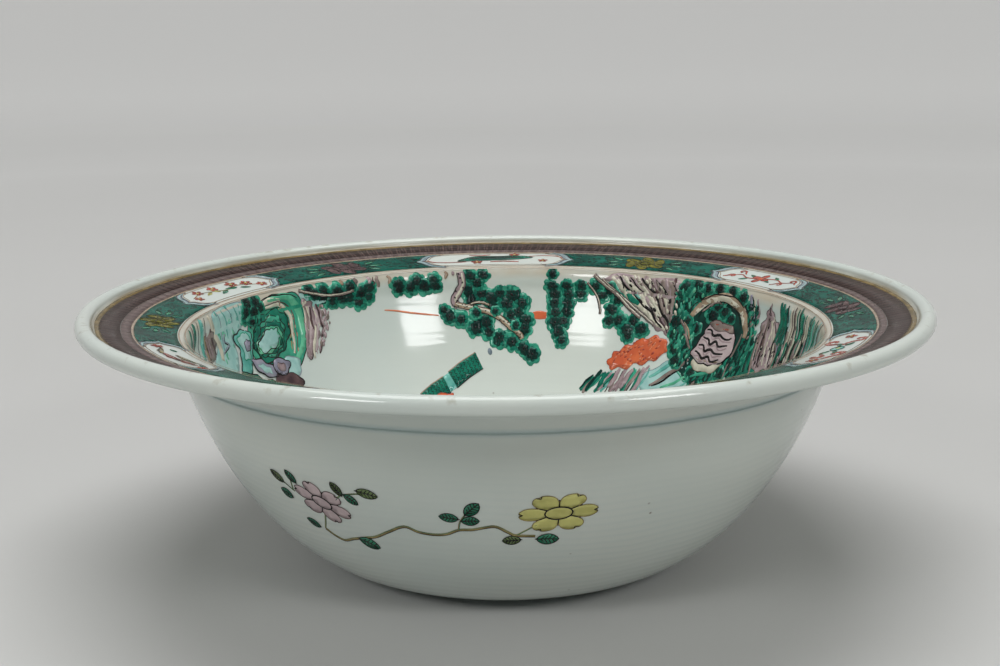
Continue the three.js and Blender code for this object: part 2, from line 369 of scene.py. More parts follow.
def glazeMaterial():
    material, tree, inputs = newMaterial("glazedPorcelain")
    radius, height = turnPlace(tree)[1:]
    tone = blend(tree, patches(tree, *glaze["tonePatches"]), glaze["cool"], glaze["warm"])
    # cream where the glaze runs thin over the well's shoulder, blue-green where it gathers
    fromShoulder = gapFrom(tree, radius, (basin["wellRadius"] + glaze["creamOffset"]) * mm)
    cream = times(tree, ramp(tree, fromShoulder, *glaze["creamNear"]), ramp(tree, height, *glaze["rimHeights"]))
    tone = blend(tree, times(tree, cream, patches(tree, *glaze["creamPatches"])), tone, glaze["shoulder"])
    fromGroove = gapFrom(tree, height, (wallTop[1] + basin["grooveWidth"] / 2) * mm)
    outside = ramp(tree, radius, (wallTop[0] - 1.5) * mm, (wallTop[0] - 1.0) * mm)
    groove = times(tree, ramp(tree, fromGroove, *glaze["grooveNear"]), outside)
    gathered = larger(tree, groove, ramp(tree, height, *glaze["footHeights"]))
    tone = blend(tree, times(tree, gathered, glaze["poolShare"]), tone, glaze["pool"])
    # iron specks under the glaze
    cells = {"Vector": coordinate(tree, "Object"), "Scale": glaze["speckScale"]}
    fromSpeck = addNode(tree, "ShaderNodeTexVoronoi", cells).outputs["Distance"]
    specks = times(tree, ramp(tree, fromSpeck, *glaze["speckSize"]), patches(tree, *glaze["speckPatches"]))
    tone = blend(tree, times(tree, specks, glaze["speckShare"]), tone, glaze["speck"])
    # tan wear at the root of the lip and in patches on its crest
    fromRoot = gapFrom(tree, radius, (basin["rimRadius"] - 2 * basin["lipRadius"] - glaze["rootOffset"]) * mm)
    root = times(tree, ramp(tree, fromRoot, *glaze["rootNear"]), patches(tree, *glaze["rootPatches"]))
    crest = times(tree, ramp(tree, radius, *glaze["crestRadii"]), ramp(tree, height, *glaze["crestHeights"]))
    crest = times(tree, crest, patches(tree, *glaze["crestPatches"]))
    wear = larger(tree, times(tree, root, glaze["rootShare"]), times(tree, crest, glaze["crestShare"]))
    tone = blend(tree, wear, tone, glaze["wear"])
    # lines left by the throwing, clear only low on the outside of the wall
    facing = addNode(tree, "ShaderNodeVectorMath", {0: coordinate(tree, "Object"), 1: coordinate(tree, "Normal")},
                     operation="DOT_PRODUCT").outputs["Value"]
    low = ramp(tree, height, wallTop[1] * mm, glaze["thrownHeight"])
    thrown = times(tree, ramp(tree, facing, 0.0, 0.02), low)
    drift = plus(tree, height, times(tree, noise(tree, 9, 3), 0.012))
    fine = wave(tree, times(tree, drift, glaze["turningLines"]))
    broken = times(tree, ramp(tree, fine, -0.2, 1.0), patches(tree, *glaze["linePatches"]))
    tone = blend(tree, times(tree, times(tree, thrown, broken), glaze["lineShare"]), tone, glaze["pool"])
    # bare clay on the foot's flat face
    bare = ramp(tree, height, *glaze["clayHeights"])
    feed(tree, inputs["Base Color"], blend(tree, bare, tone, glaze["clay"]))
    satin = times(tree, patches(tree, *glaze["satinPatches"]), glaze["satin"])
    feed(tree, inputs["Roughness"], plus(tree, satin, times(tree, bare, glaze["clayRoughness"])))
    # the same lines in relief, and a slight orange peel in the glaze
    broad = wave(tree, times(tree, drift, glaze["turningLines"] / 2.9))
    peel = times(tree, noise(tree, 60, 3), 1.6)
    depth = plus(tree, times(tree, thrown, 0.55), 0.25)
    bump(tree, inputs, plus(tree, times(tree, fine, depth), plus(tree, broad, peel)), glaze["relief"])
    return material


# how much an enamel mirrors: little where it is dark, hardly at all on the rim, which is seen at a glance
gloss = {"wall": 0.5, "dark": 0.18, "rim": 0.05}
shines = {
    "ink": "dark", "deep": "dark", "pine": "dark", "plum": "dark",
    "dimPetal": "rim", "dimYellow": "rim", "gold": "rim",
}
enamelGrain = 190.0


def enamelMaterial(name, tone, shade, shine):
    # a watery enamel: it pools in spots and keeps the marks of the brush
    material, tree, inputs = newMaterial(name)
    pool = plus(tree, noise(tree, enamelGrain * 0.4, 3), noise(tree, enamelGrain, 4))
    feed(tree, inputs["Base Color"], blend(tree, ramp(tree, pool, 0.84, 1.16), shade, tone))
    inputs["Specular IOR Level"].default_value = gloss[shine]
    feed(tree, inputs["Roughness"], patches(tree, enamelGrain * 0.5, 3, -0.1, 5.0))
    bump(tree, inputs, noise(tree, enamelGrain * 1.4, 3), 0.06)
    return material


# the hatched bands: fine slanting lines, and broader ones that wander
hatching = {
    "dark": {"wash": (0.125, 0.083, 0.074), "ink": (0.010, 0.007, 0.008), "ticks": 640.0, "fineness": -0.1},
    "pale": {"wash": (0.205, 0.152, 0.142), "ink": (0.09, 0.062, 0.062), "ticks": 420.0, "fineness": 0.55},
    "slant": 420.0,
    "broadTicks": 0.37,
    "strength": 0.75,
}


def hatchedMaterial(name, tones):
    material, tree, inputs = newMaterial(name)
    angle, radius = turnPlace(tree)[:2]
    waver = times(tree, noise(tree, 200, 2), 4.0)
    slant = plus(tree, times(tree, radius, hatching["slant"]), waver)
    rising = wave(tree, plus(tree, times(tree, angle, tones["ticks"]), slant))
    drift = plus(tree, times(tree, noise(tree, 34, 2), 9.0), waver)
    broad = wave(tree, plus(tree, times(tree, angle, tones["ticks"] * hatching["broadTicks"]), drift))
    fine = ramp(tree, rising, tones["fineness"], tones["fineness"] + 0.4)
    lines = times(tree, larger(tree, fine, ramp(tree, broad, 0.0, 0.7)), hatching["strength"])
    darker = tuple(channel * 0.7 for channel in tones["wash"])
    pool = blend(tree, patches(tree, 24, 5, 0.3, 0.7), darker, tones["wash"])
    feed(tree, inputs["Base Color"], blend(tree, times(tree, lines, 0.95), pool, tones["ink"]))
    inputs["Specular IOR Level"].default_value = gloss["rim"]
    feed(tree, inputs["Roughness"], patches(tree, 90, 3, -0.6, 3.2))
    bump(tree, inputs, plus(tree, lines, noise(tree, 200, 2)), 0.04)
    return material


stipple = {
    "pool": ((0.0015, 0.040, 0.031), (0.006, 0.135, 0.095)),
    "ink": (0.003, 0.010, 0.008),
    "length": 0.06,
    "cells": 520.0,
    "curl": 0.40,
}


def stippledMaterial():
    # green ground with small curled black marks, a little longer along the rim
    material, tree, inputs = newMaterial("stippledGreen")
    angle, radius = turnPlace(tree)[:2]
    flat = addNode(tree, "ShaderNodeCombineXYZ", {0: times(tree, angle, stipple["length"]), 1: radius}).outputs[0]
    cells = {"Vector": flat, "Scale": stipple["cells"], "Randomness": 0.9}
    curl = gapFrom(tree, addNode(tree, "ShaderNodeTexVoronoi", cells).outputs["Distance"], stipple["curl"])
    ink = times(tree, ramp(tree, curl, 0.15, 0.06), patches(tree, 420, 2, 0.36, 0.46))
    pool = blend(tree, patches(tree, 80, 4, 0.3, 0.7), *stipple["pool"])
    feed(tree, inputs["Base Color"], blend(tree, times(tree, ink, 0.9), pool, stipple["ink"]))
    inputs["Specular IOR Level"].default_value = gloss["rim"]
    feed(tree, inputs["Roughness"], patches(tree, 120, 3, -0.5, 3.4))
    bump(tree, inputs, calculate(tree, "SUBTRACT", noise(tree, 260, 2), times(tree, ink, 0.5)), 0.06)
    return material


# each paint as its full tone and its thin or pooled tone
paintTones = {
    "ink": ((0.016, 0.013, 0.013), (0.007, 0.006, 0.006)),
    "plum": ((0.13, 0.075, 0.075), (0.06, 0.035, 0.04)),
    "leaf": ((0.03, 0.23, 0.125), (0.012, 0.13, 0.075)),
    "pine": ((0.012, 0.205, 0.132), (0.005, 0.105, 0.073)),
    "deep": ((0.003, 0.055, 0.040), (0.002, 0.024, 0.02)),
    "bright": ((0.04, 0.37, 0.235), (0.02, 0.25, 0.16)),
    "mint": ((0.15, 0.55, 0.33), (0.07, 0.40, 0.24)),
    "turquoise": ((0.17, 0.50, 0.42), (0.08, 0.35, 0.30)),
    "wash": ((0.40, 0.64, 0.60), (0.29, 0.53, 0.50)),
    "mauve": ((0.42, 0.32, 0.33), (0.28, 0.20, 0.21)),
    "lilac": ((0.36, 0.34, 0.42), (0.22, 0.21, 0.28)),
    "petal": ((0.56, 0.45, 0.455), (0.46, 0.36, 0.37)),
    "yellow": ((0.60, 0.58, 0.19), (0.47, 0.45, 0.14)),
    "dimPetal": ((0.15, 0.097, 0.095), (0.085, 0.055, 0.057)),
    "dimYellow": ((0.205, 0.195, 0.032), (0.11, 0.11, 0.02)),
    "brown": ((0.34, 0.26, 0.10), (0.17, 0.135, 0.055)),
    "bark": ((0.31, 0.24, 0.21), (0.17, 0.13, 0.115)),
    "red": ((0.42, 0.055, 0.028), (0.27, 0.035, 0.02)),
    "orange": ((0.70, 0.15, 0.05), (0.58, 0.10, 0.035)),
    "coral": ((0.72, 0.24, 0.11), (0.60, 0.17, 0.08)),
    "grey": ((0.29, 0.35, 0.385), (0.18, 0.23, 0.27)),
    "tan": ((0.42, 0.31, 0.21), (0.27, 0.19, 0.125)),
    "gold": ((0.25, 0.18, 0.075), (0.14, 0.10, 0.038)),
    "olive": ((0.14, 0.21, 0.075), (0.07, 0.11, 0.04)),
    "cream": ((0.68, 0.64, 0.52), (0.58, 0.54, 0.43)),
}
paints = {
    "stippled": stippledMaterial(),
    "hatched": hatchedMaterial("hatchedAubergine", hatching["dark"]),
    "pale": hatchedMaterial("paleAubergine", hatching["pale"]),
}
for name, (tone, shade) in paintTones.items():
    paints[name] = enamelMaterial(name + "Enamel", tone, shade, shines.get(name, "wall"))
print("materials mixed:", len(paints) + 1)


# fired body: one corner pulled along the profile, then spun round the foot's middle
def turnBody():
    profile = basinProfile()
    body = emptyPiece("porcelainBasin")
    start = Vector((profile[0][0], 0, profile[0][1])) * mm
    bpy.ops.mesh.primitive_plane_add(size=mm, location=start)
    bpy.ops.mesh.merge(type="CENTER")
    for here, there in zip(profile, profile[1:]):
        pull = ((there[0] - here[0]) * mm, 0, (there[1] - here[1]) * mm)
        bpy.ops.mesh.extrude_region_move(TRANSFORM_OT_translate={"value": pull})
    bpy.ops.mesh.select_all(action="SELECT")
    bpy.ops.mesh.spin(steps=basin["corners"], angle=2 * math.pi, center=(0, 0, 0), axis=(0, 0, 1))
    bpy.ops.mesh.select_all(action="SELECT")
    bpy.ops.mesh.remove_doubles(threshold=0.01 * mm)
    closeSeams(body, 40)
    body.data.materials.append(glazeMaterial())
    joinFrame(body, ["porcelain_body"])


turnBody()
print("body turned")


# places on the glaze: a drawing is flat, in millimetres, and its third value is the enamel's height
def railOf(line):
    # height, radius and the outward square of a turned line, lowest first
    rail = []
    for index, (radius, height) in enumerate(line):
        side = leftOf(line, index, 1)
        rail.append((height, radius, side[0] - radius, side[1] - height))
    return sorted(rail)


flat = {"outer": 2.27, "inner": 2.36}  # millimetres of drawing in a degree of wall
outerRail = railOf(outerWall)
innerRail = railOf(shoulder[3:] + innerWall)


def onRail(rail, height):
    index = min(max(bisect.bisect(rail, (height,)), 1), len(rail) - 1)
    low, high = rail[index - 1], rail[index]
    share = min(max((height - low[0]) / (high[0] - low[0]), 0), 1)
    return [lerp(a, b, share) for a, b in zip(low, high)]


def onOuterWall(spot, turn):
    angle = (spot.x / flat["outer"] + turn) * degree
    height, radius, outR, outZ = onRail(outerRail, spot.y)
    reach = radius + outR * spot.z
    return Vector((reach * math.sin(angle), -reach * math.cos(angle), height + outZ * spot.z)) * mm


def onInnerWall(spot, turn):
    angle = (spot.x / flat["inner"] + turn) * degree
    height, radius, outR, outZ = onRail(innerRail, spot.y)
    reach = radius - outR * spot.z
    return Vector((reach * math.sin(angle), reach * math.cos(angle), height - outZ * spot.z)) * mm


def onRim(spot, turn):
    angle = spot.x / rim["middle"] + turn * degree
    reach = rim["middle"] + spot.y
    return Vector((reach * math.sin(angle), -reach * math.cos(angle), rimTop(reach) + spot.z)) * mm


# brushwork on a flat drawing, which stays in edit mode while it is drawn
brush = {"lift": 0.09, "coat": 0.045, "overlap": 0.0012, "thickness": 0.05, "cell": 2.8}


def loadBrush(drawing, paint):
    materials = drawing.data.materials
    if paints[paint].name not in materials:
        materials.append(paints[paint])
    drawing.active_material_index = materials.find(paints[paint].name)
    bpy.ops.object.material_slot_assign()


def moveCorners(drawing, corners, order, coat):
    # the primitive just added is the only thing selected
    work = bmesh.from_edit_mesh(drawing.data)
    fresh = sorted((vertex for vertex in work.verts if vertex.select), key=order)
    drawing["strokes"] = drawing.get("strokes", 0) + 1
    height = brush["lift"] + brush["coat"] * coat + brush["overlap"] * (drawing["strokes"] % 30)
    for vertex, (x, y) in zip(fresh, corners):
        vertex.co = (x, y, height)
    bmesh.update_edit_mesh(drawing.data)


def fill(drawing, paint, outline, coat=0):
    bpy.ops.mesh.primitive_circle_add(vertices=len(outline), radius=1, fill_type="NGON")
    moveCorners(drawing, outline, lambda vertex: math.atan2(vertex.co.y, vertex.co.x), coat)
    loadBrush(drawing, paint)


def ribbon(drawing, paint, left, right, coat):
    bpy.ops.mesh.primitive_grid_add(x_subdivisions=len(left) - 1, y_subdivisions=1, size=2)
    moveCorners(drawing, left + right, lambda vertex: (round(vertex.co.y), vertex.co.x), coat)
    loadBrush(drawing, paint)


def stroke(drawing, paint, line, width, coat=1, taper=0.0):
    # a ribbon along a line, narrower towards its ends by the taper's share
    count = len(line)
    sides = [[], []]
    for index in range(count):
        half = width / 2 * (1 - taper * abs(2 * index / (count - 1) - 1) ** 1.5)
        sides[0].append(leftOf(line, index, half))
        sides[1].append(leftOf(line, index, -half))
    ribbon(drawing, paint, *sides, coat)


def outlineStroke(drawing, paint, outline, width, coat=1):
    # the two ends run past each other so that the ring closes
    stroke(drawing, paint, [*outline, outline[0], outline[1]], width, coat)


def smooth(points, steps=5, closed=False):
    count = len(points)
    line = []
    for index in range(count if closed else count - 1):
        places = [k % count if closed else min(max(k, 0), count - 1) for k in range(index - 1, index + 3)]
        near = [points[k] for k in places]
        for step in range(steps):
            t = step / steps
            weights = (-t + 2 * t * t - t ** 3, 2 - 5 * t * t + 3 * t ** 3, t + 4 * t * t - 3 * t ** 3,
                       t ** 3 - t * t)
            line.append(tuple(sum(w * p[axis] for w, p in zip(weights, near)) / 2 for axis in (0, 1)))
    return line if closed else line + [tuple(points[-1])]


def leanAt(points, centre, lean):
    c, s = math.cos(lean * degree), math.sin(lean * degree)
    return [(centre[0] + x * c - y * s, centre[1] + x * s + y * c) for x, y in points]


def oval(centre, width, height, lean=0, corners=26):
    turns = [2 * math.pi * step / corners for step in range(corners)]
    return leanAt([(width / 2 * math.cos(t), height / 2 * math.sin(t)) for t in turns], centre, lean)


def finishDrawing(drawing):
    # cut on a fine grid, so that the flat drawing can bend with the glaze
    corners = [vertex.co for vertex in bmesh.from_edit_mesh(drawing.data).verts]
    for axis, square in ((0, (1, 0, 0)), (1, (0, 1, 0))):
        low, high = min(c[axis] for c in corners), max(c[axis] for c in corners)
        cuts = int((high - low) / brush["cell"])
        for cut in range(1, cuts + 1):
            at = [0, 0, 0]
            at[axis] = low + (high - low) * cut / (cuts + 1)
            bpy.ops.mesh.select_all(action="SELECT")
            bpy.ops.mesh.bisect(plane_co=at, plane_no=square, use_fill=False)
        corners = [vertex.co for vertex in bmesh.from_edit_mesh(drawing.data).verts]
    bpy.ops.mesh.select_all(action="SELECT")
    bpy.ops.mesh.quads_convert_to_tris(quad_method="BEAUTY", ngon_method="BEAUTY")
    deselectAll()


def layOnGlaze(drawing, name, place, turn, nodes):
    piece = drawing.copy()
    piece.data = drawing.data.copy()
    piece.name = piece.data.name = name
    bpy.context.collection.objects.link(piece)
    for vertex in piece.data.vertices:
        vertex.co = place(vertex.co, turn)
    closeSeams(piece, 35)
    applyModifier(piece, "SOLIDIFY", thickness=brush["thickness"] * mm, offset=0)
    joinFrame(piece, nodes)


def putAway(drawing):
    bpy.data.objects.remove(drawing)


# rim bands, from the lip inwards: each ring is a long flat ribbon, which closes when it is laid on the rim
rim = {
    "lineInset": 1.4,
    "hatchedInset": 2.8,
    "groundInset": 1.0,
    "gap": 0.4,
    "hatchedShare": 0.2,
    "paleShare": 0.19,
    "turn": 2,
    "count": 6,
    "corners": 288,
    # how much of the dark band the pale one covers, and how far to one side the hand set their seam
    "paleOverlap": 1.8,
    "seamShift": 0.7,
}
rim["lineOuter"] = basin["rimRadius"] - 2 * basin["lipRadius"] - rim["lineInset"]
rim["hatchedOuter"] = rim["lineOuter"] - rim["hatchedInset"]
rim["groundInner"] = basin["wellRadius"] + basin["shoulderRound"] + rim["groundInset"]
rim["room"] = rim["hatchedOuter"] - rim["groundInner"]
rim["hatchedInner"] = rim["hatchedOuter"] - rim["room"] * rim["hatchedShare"]
rim["paleOuter"] = rim["hatchedInner"] - rim["gap"]
rim["paleInner"] = rim["paleOuter"] - rim["room"] * rim["paleShare"]
rim["groundOuter"] = rim["paleInner"] - rim["gap"]
rim["middle"] = (rim["groundOuter"] + rim["groundInner"]) / 2
rim["half"] = (rim["groundOuter"] - rim["groundInner"]) / 2


def ringEdge(radius, shift=0.0):
    # a painted edge wavers, and the hand may have set it off to one side
    edge = []
    for step in range(rim["corners"] + 1):
        angle = 2 * math.pi * step / rim["corners"]
        waver = 0.10 * math.sin(11 * angle + radius) + 0.07 * math.sin(26 * angle)
        edge.append((angle * rim["middle"], radius - shift * math.sin(angle) + waver - rim["middle"]))
    return edge


def ringPiece(name, rings, nodes):
    drawing = emptyPiece("ringDrawing")
    for paint, inner, outer in rings:
        ribbon(drawing, paint, inner, outer, 0)
    deselectAll()
    layOnGlaze(drawing, name, onRim, 0, nodes)
    putAway(drawing)


bandSplit = rim["hatchedInner"] - rim["paleOverlap"]
ringPiece("rimLine", [
    ("gold", ringEdge(rim["hatchedOuter"] + 1.1), ringEdge(rim["lineOuter"] + 0.4)),
    ("tan", ringEdge(rim["groundOuter"] - 0.1), ringEdge(rim["paleInner"] + 0.6)),
    ("tan", ringEdge(rim["groundInner"] - 0.9), ringEdge(rim["groundInner"] - 0.35)),
    ("tan", ringEdge(rim["groundInner"] - 3.6), ringEdge(rim["groundInner"] - 3.1)),
], ["rim_line"])
ringPiece("hatchedBand", [
    ("hatched", ringEdge(bandSplit, rim["seamShift"]), ringEdge(rim["hatchedOuter"] + 1.1)),
], ["hatched_band"])
ringPiece("paleBand", [
    ("pale", ringEdge(rim["paleInner"] + 0.6), ringEdge(bandSplit - 0.1, rim["seamShift"])),
], ["pale_band"])
print("rim bands done")


# cartouches, each of its own length, and the green ground between them
cartouche = {
    "lengths": (68.0, 80.0, 70.0, 91.0, 80.0, 69.0),
    "turns": (0, -3, 0, 0, 2.8, 0.5),
    "border": 3.6,
    "shoulder": 14.0,
    "hook": 0.4,
    "gap": 0.6,
}


def cartoucheEnd(index, margin, narrower=0.0):
    end = cartouche["lengths"][index % rim["count"]] / 2 + margin
    side = rim["half"] - narrower
    reach = cartouche["shoulder"]
    handles = [(end, 0), (end - reach * cartouche["hook"], side * 0.1), (end - reach * 0.15, side),
               (end - reach, side)]
    upper = bezier(handles, 14)
    return [(x, -y) for x, y in reversed(upper)][:-1] + upper


def mirrored(points, shift):
    return [(shift - x, y) for x, y in points]


def cartoucheTurn(index):
    return rim["turn"] + index * 360 / rim["count"] + cartouche["turns"][index % rim["count"]]


def groundFlower(drawing, middle, paint):
    fill(drawing, paint, oval(middle, 20, 10, 0, 20))
    for turn in range(30, 390, 60):
        at = (middle[0] + 8.8 * math.cos(turn * degree), middle[1] + 4.7 * math.sin(turn * degree))
        petal = oval(at, 9.6, 5.6, turn * 0.5 if turn < 180 else turn * 0.5 - 90, 16)
        fill(drawing, paint, petal, 1)
        outlineStroke(drawing, "ink", petal, 0.3, 2)
        vein = [(lerp(middle[0], at[0], share), lerp(middle[1], at[1], share)) for share in (0.8, 1.0, 1.2)]
        stroke(drawing, "ink", vein, 0.5, 2, 0.5)
        for side in (-1, 1):
            fill(drawing, "ink", oval((at[0] + 2.2 * side, at[1] + 1.1 * side), 1.5, 0.7, turn, 8), 2)
    heart = oval(middle, 6.0, 3.8, 0, 16)
    fill(drawing, paint, heart, 3)
    outlineStroke(drawing, "ink", heart, 0.36, 4)
    for side in (-1, 1):
        for lean, reach in ((0, 19), (26, 17), (-26, 17)):
            blade = oval((middle[0] + side * reach, middle[1] + lean * 0.16), 7.4, 2.6, side * lean, 14)
            fill(drawing, "leaf", blade, 1)
            outlineStroke(drawing, "ink", blade, 0.3, 2)


for index in range(rim["count"]):
    drawing = emptyPiece("groundDrawing")
    step = (cartoucheTurn(index + 1) - cartoucheTurn(index)) * degree * rim["middle"]
    here = cartoucheEnd(index, cartouche["gap"])
    there = mirrored(cartoucheEnd(index + 1, cartouche["gap"]), step)
    fill(drawing, "stippled", here + list(reversed(there)))
    middle = (max(x for x, y in here) + min(x for x, y in there)) / 2
    groundFlower(drawing, (middle, 0), "dimPetal" if index % 2 else "dimYellow")
    finishDrawing(drawing)
    nodes = [f"green_ground_{index + 1}"]
    layOnGlaze(drawing, f"greenGround{index + 1}", onRim, cartoucheTurn(index), nodes)
    putAway(drawing)

for index in range(rim["count"]):
    drawing = emptyPiece("borderDrawing")
    width = cartouche["border"]
    for margin, narrower, paint, thick, coat in (
            (-width / 2, 0.2, "grey", width, 0), (0.15, 0, "ink", 0.45, 1), (-width, 0.6, "ink", 0.35, 1),
            (-width * 0.3, 0.8, "wash", 0.5, 1), (-width - 1.4, 1.2, "tan", 0.45, 1)):
        for flip in (1, -1):
            route = [(x * flip, y) for x, y in cartoucheEnd(index, margin, narrower)]
            stroke(drawing, paint, route, thick, coat, 0.2 if paint == "wash" else 0.0)
    reach = cartouche["lengths"][index] / 2 - cartouche["shoulder"]
    for side in (-1, 1):
        stroke(drawing, "tan", [(x * reach / 4, side * (rim["half"] - 1.2)) for x in range(-4, 5)], 0.4, 1)
    finishDrawing(drawing)
    nodes = [f"cartouche_border_{index + 1}"]
    layOnGlaze(drawing, f"cartoucheBorder{index + 1}", onRim, cartoucheTurn(index), nodes)
    putAway(drawing)


# a sprig in each cartouche, the first and the fourth alike, as millimetres along and across it
def curl(drawing, paint, centre, size, flip=1, lean=0):
    points = [(-1.1, -0.5), (-0.5, 0.1), (-0.1, 0.75), (0.5, 0.9), (0.85, 0.5), (0.6, 0.1), (0.25, 0.25)]
    line = leanAt([(x * size * flip, y * size) for x, y in smooth(points, 4)], centre, lean)
    stroke(drawing, paint, line, size * 0.46, 1, 0.5)


def smallFlower(drawing, centre, size, petalPaint="red", heartPaint="yellow"):
    for petal in range(5):
        lean = petal * 72 + 18
        at = leanAt([(size * 0.5, 0)], centre, lean)[0]
        fill(drawing, petalPaint, oval(at, size * 0.66, size * 0.5, lean, 12), 2)
    fill(drawing, heartPaint, oval(centre, size * 0.4, size * 0.4, 0, 10), 3)


def smallLeaf(drawing, centre, length, lean, paint="leaf"):
    blade = [(-length / 2, 0), (-length * 0.1, length * 0.2), (length / 2, 0), (-length * 0.1, -length * 0.2)]
    rib = [(-length * 0.45, 0), (0, 0.1), (length * 0.4, 0)]
    fill(drawing, paint, leanAt(smooth(blade, 4, True), centre, lean), 1)
    stroke(drawing, "ink", leanAt(rib, centre, lean), 0.26, 2)


def strokeSprig(drawing):
    for points, width in (
            ([(28, 0.6), (25, -2.2), (19, -3.4), (12, -3.2)], 0.9),
            ([(10, 6.2), (5.6, 5.6), (1.6, 6.4)], 1.0),
            ([(2, -3.8), (-4, -3.2), (-10, -4.2)], 1.2),
            ([(-14, 4), (-20, 5.2), (-26, 4), (-28, 0.4)], 0.8)):
        stroke(drawing, "red", smooth(points), width, 1, 0.4)
    band = smooth([(-15.6, 2.4), (-9, 4.8), (-2, 4.0), (6, 4.4), (11, 2.6), (15.6, -2), (10, -2.2), (3, -1.8),
                   (-5, -1.2), (-10, -0.4)], 4, True)
    fill(drawing, "pine", band, 1)
    fill(drawing, "deep", smooth([(-12, 2.2), (-6, 3.6), (4, 3.2), (11, 0.8), (4, -0.8), (-6, 0.2)], 4, True), 2)
    outlineStroke(drawing, "ink", band, 0.34, 3)
    for at, size in (((-8, 6.2), 2.8), ((7.6, -4), 3), ((-20, -2), 2.6)):
        smallFlower(drawing, at, size)


def crossSprig(drawing):
    twig = smooth([(-21, 3.8), (-15, 0.6), (-9, 2.4), (0, 0), (8, -1.6), (14, 1), (21, -3.6)])
    stroke(drawing, "red", twig, 0.9, 1, 0.3)
    for lean in (0, 90, 180, 270):
        at = leanAt([(3, 0)], (0, 0), lean + 8)[0]
        fill(drawing, "red", oval(at, 5.4, 3.6, lean + 8, 14), 2)
    fill(drawing, "orange", oval((0, 0), 2.4, 2.4, 0, 12), 3)
    for at, lean in (((-8, 3.6), 30), ((-6, -1.6), 200), ((6.4, 1.6), 20), ((9, -3.6), 330)):
        smallLeaf(drawing, at, 5, lean)
    for at, flip in (((-20, 3.2), 1), ((-14, -2.8), -1), ((19, -2.8), -1), ((14.6, 3.2), 1)):
        curl(drawing, "red", at, 2.8, flip)


def scrollSprig(drawing):
    for at, size, flip, lean in (
            ((-13, 3.0), 5.2, 1, -20), ((11, -2.6), 5.2, -1, 160),
            ((-12, -3.4), 4.2, -1, 20), ((13, 3.2), 4.2, 1, 10)):
        curl(drawing, "red", at, size, flip, lean)
    heart = oval((0, 0), 7, 5, 10, 18)
    fill(drawing, "turquoise", heart, 1)
    outlineStroke(drawing, "ink", heart, 0.34, 2)
    fill(drawing, "yellow", oval((0.4, 0.2), 2.6, 1.8, 0, 12), 3)
    for at, lean in (((-6.4, 1.6), 160), ((6.8, -1.4), -20), ((-6, -3), 210), ((6.4, 3), 30)):
        smallLeaf(drawing, at, 5.4, lean)
    smallFlower(drawing, (-21, 0.4), 3.2)
    smallFlower(drawing, (21, 0), 3.2)


def blossomSprig(drawing):
    twig = smooth([(-24, -3), (-16, -1), (-9, 1.6), (-2, -0.6), (6, 1.4), (14, 3.2), (23, 1)])
    stroke(drawing, "brown", twig, 0.6, 1, 0.3)
    for at, size in (
            ((-21, -2.6), 3.4), ((-15, 1.8), 3.8), ((-7.6, 4), 4),
            ((4.6, 4.2), 3.6), ((15, 4.4), 3.6), ((21, -0.8), 3)):
        smallFlower(drawing, at, size)
    for at, length, lean, paint in (
            ((-4, 0.2), 7, 10, "leaf"), ((2.6, -2), 6.4, -24, "leaf"), ((5.4, 1.6), 5.4, 60, "yellow"),
            ((-11, -2.4), 5.4, 205, "leaf"), ((11, 0.4), 5.2, -20, "yellow")):
        smallLeaf(drawing, at, length, lean, paint)


def bladeSprig(drawing):
    stroke(drawing, "ink", smooth([(-24, 2.4), (-16, 1.4), (-9, 2.6)]), 0.6, 1, 0.4)
    stroke(drawing, "ink", smooth([(10, -2.2), (17, -3.2), (24, -1.6)]), 0.6, 1, 0.4)
    for at, length, width, lean, paint in (
            ((-11, 2.6), 11, 3.0, 14, "brown"), ((2, 2.4), 17, 3.6, -5, "red"),
            ((5, -2.0), 17, 2.8, -4, "brown"), ((12, 0.8), 14, 3.0, -7, "red")):
        blade = [(-length / 2, 0), (0, 0.7), (length / 2, 0)]
        back = [(-length / 2, width * 0.3), (0, width * 0.5), (length / 2, width * 0.3)]
        stroke(drawing, paint, leanAt(blade, at, lean), width, 1, 0.7)
        stroke(drawing, "ink", leanAt(back, at, lean), 0.7, 2, 0.5)
    for at, lean in (((-14, -2.8), 160), ((20, -1.4), 10)):
        smallLeaf(drawing, at, 5, lean)
    smallFlower(drawing, (-21, 2.2), 3.4, "red", "red")
    smallFlower(drawing, (24, 0.8), 2.8, "red", "red")


sprigs = (strokeSprig, scrollSprig, crossSprig, strokeSprig, blossomSprig, bladeSprig)
sprigLength = 66  # of the cartouche that each sprig was drawn for
for index, drawSprig in enumerate(sprigs):
    drawing = emptyPiece("sprigDrawing")
    drawSprig(drawing)
    stretch = cartouche["lengths"][index] / sprigLength
    bpy.ops.mesh.select_all(action="SELECT")
    bpy.ops.transform.resize(value=(stretch, 1, 1), center_override=(0, 0, 0))
    finishDrawing(drawing)
    nodes = [f"cartouche_sprig_{index + 1}"]
    layOnGlaze(drawing, f"cartoucheSprig{index + 1}", onRim, cartoucheTurn(index), nodes)
    putAway(drawing)
print("rim panels done")


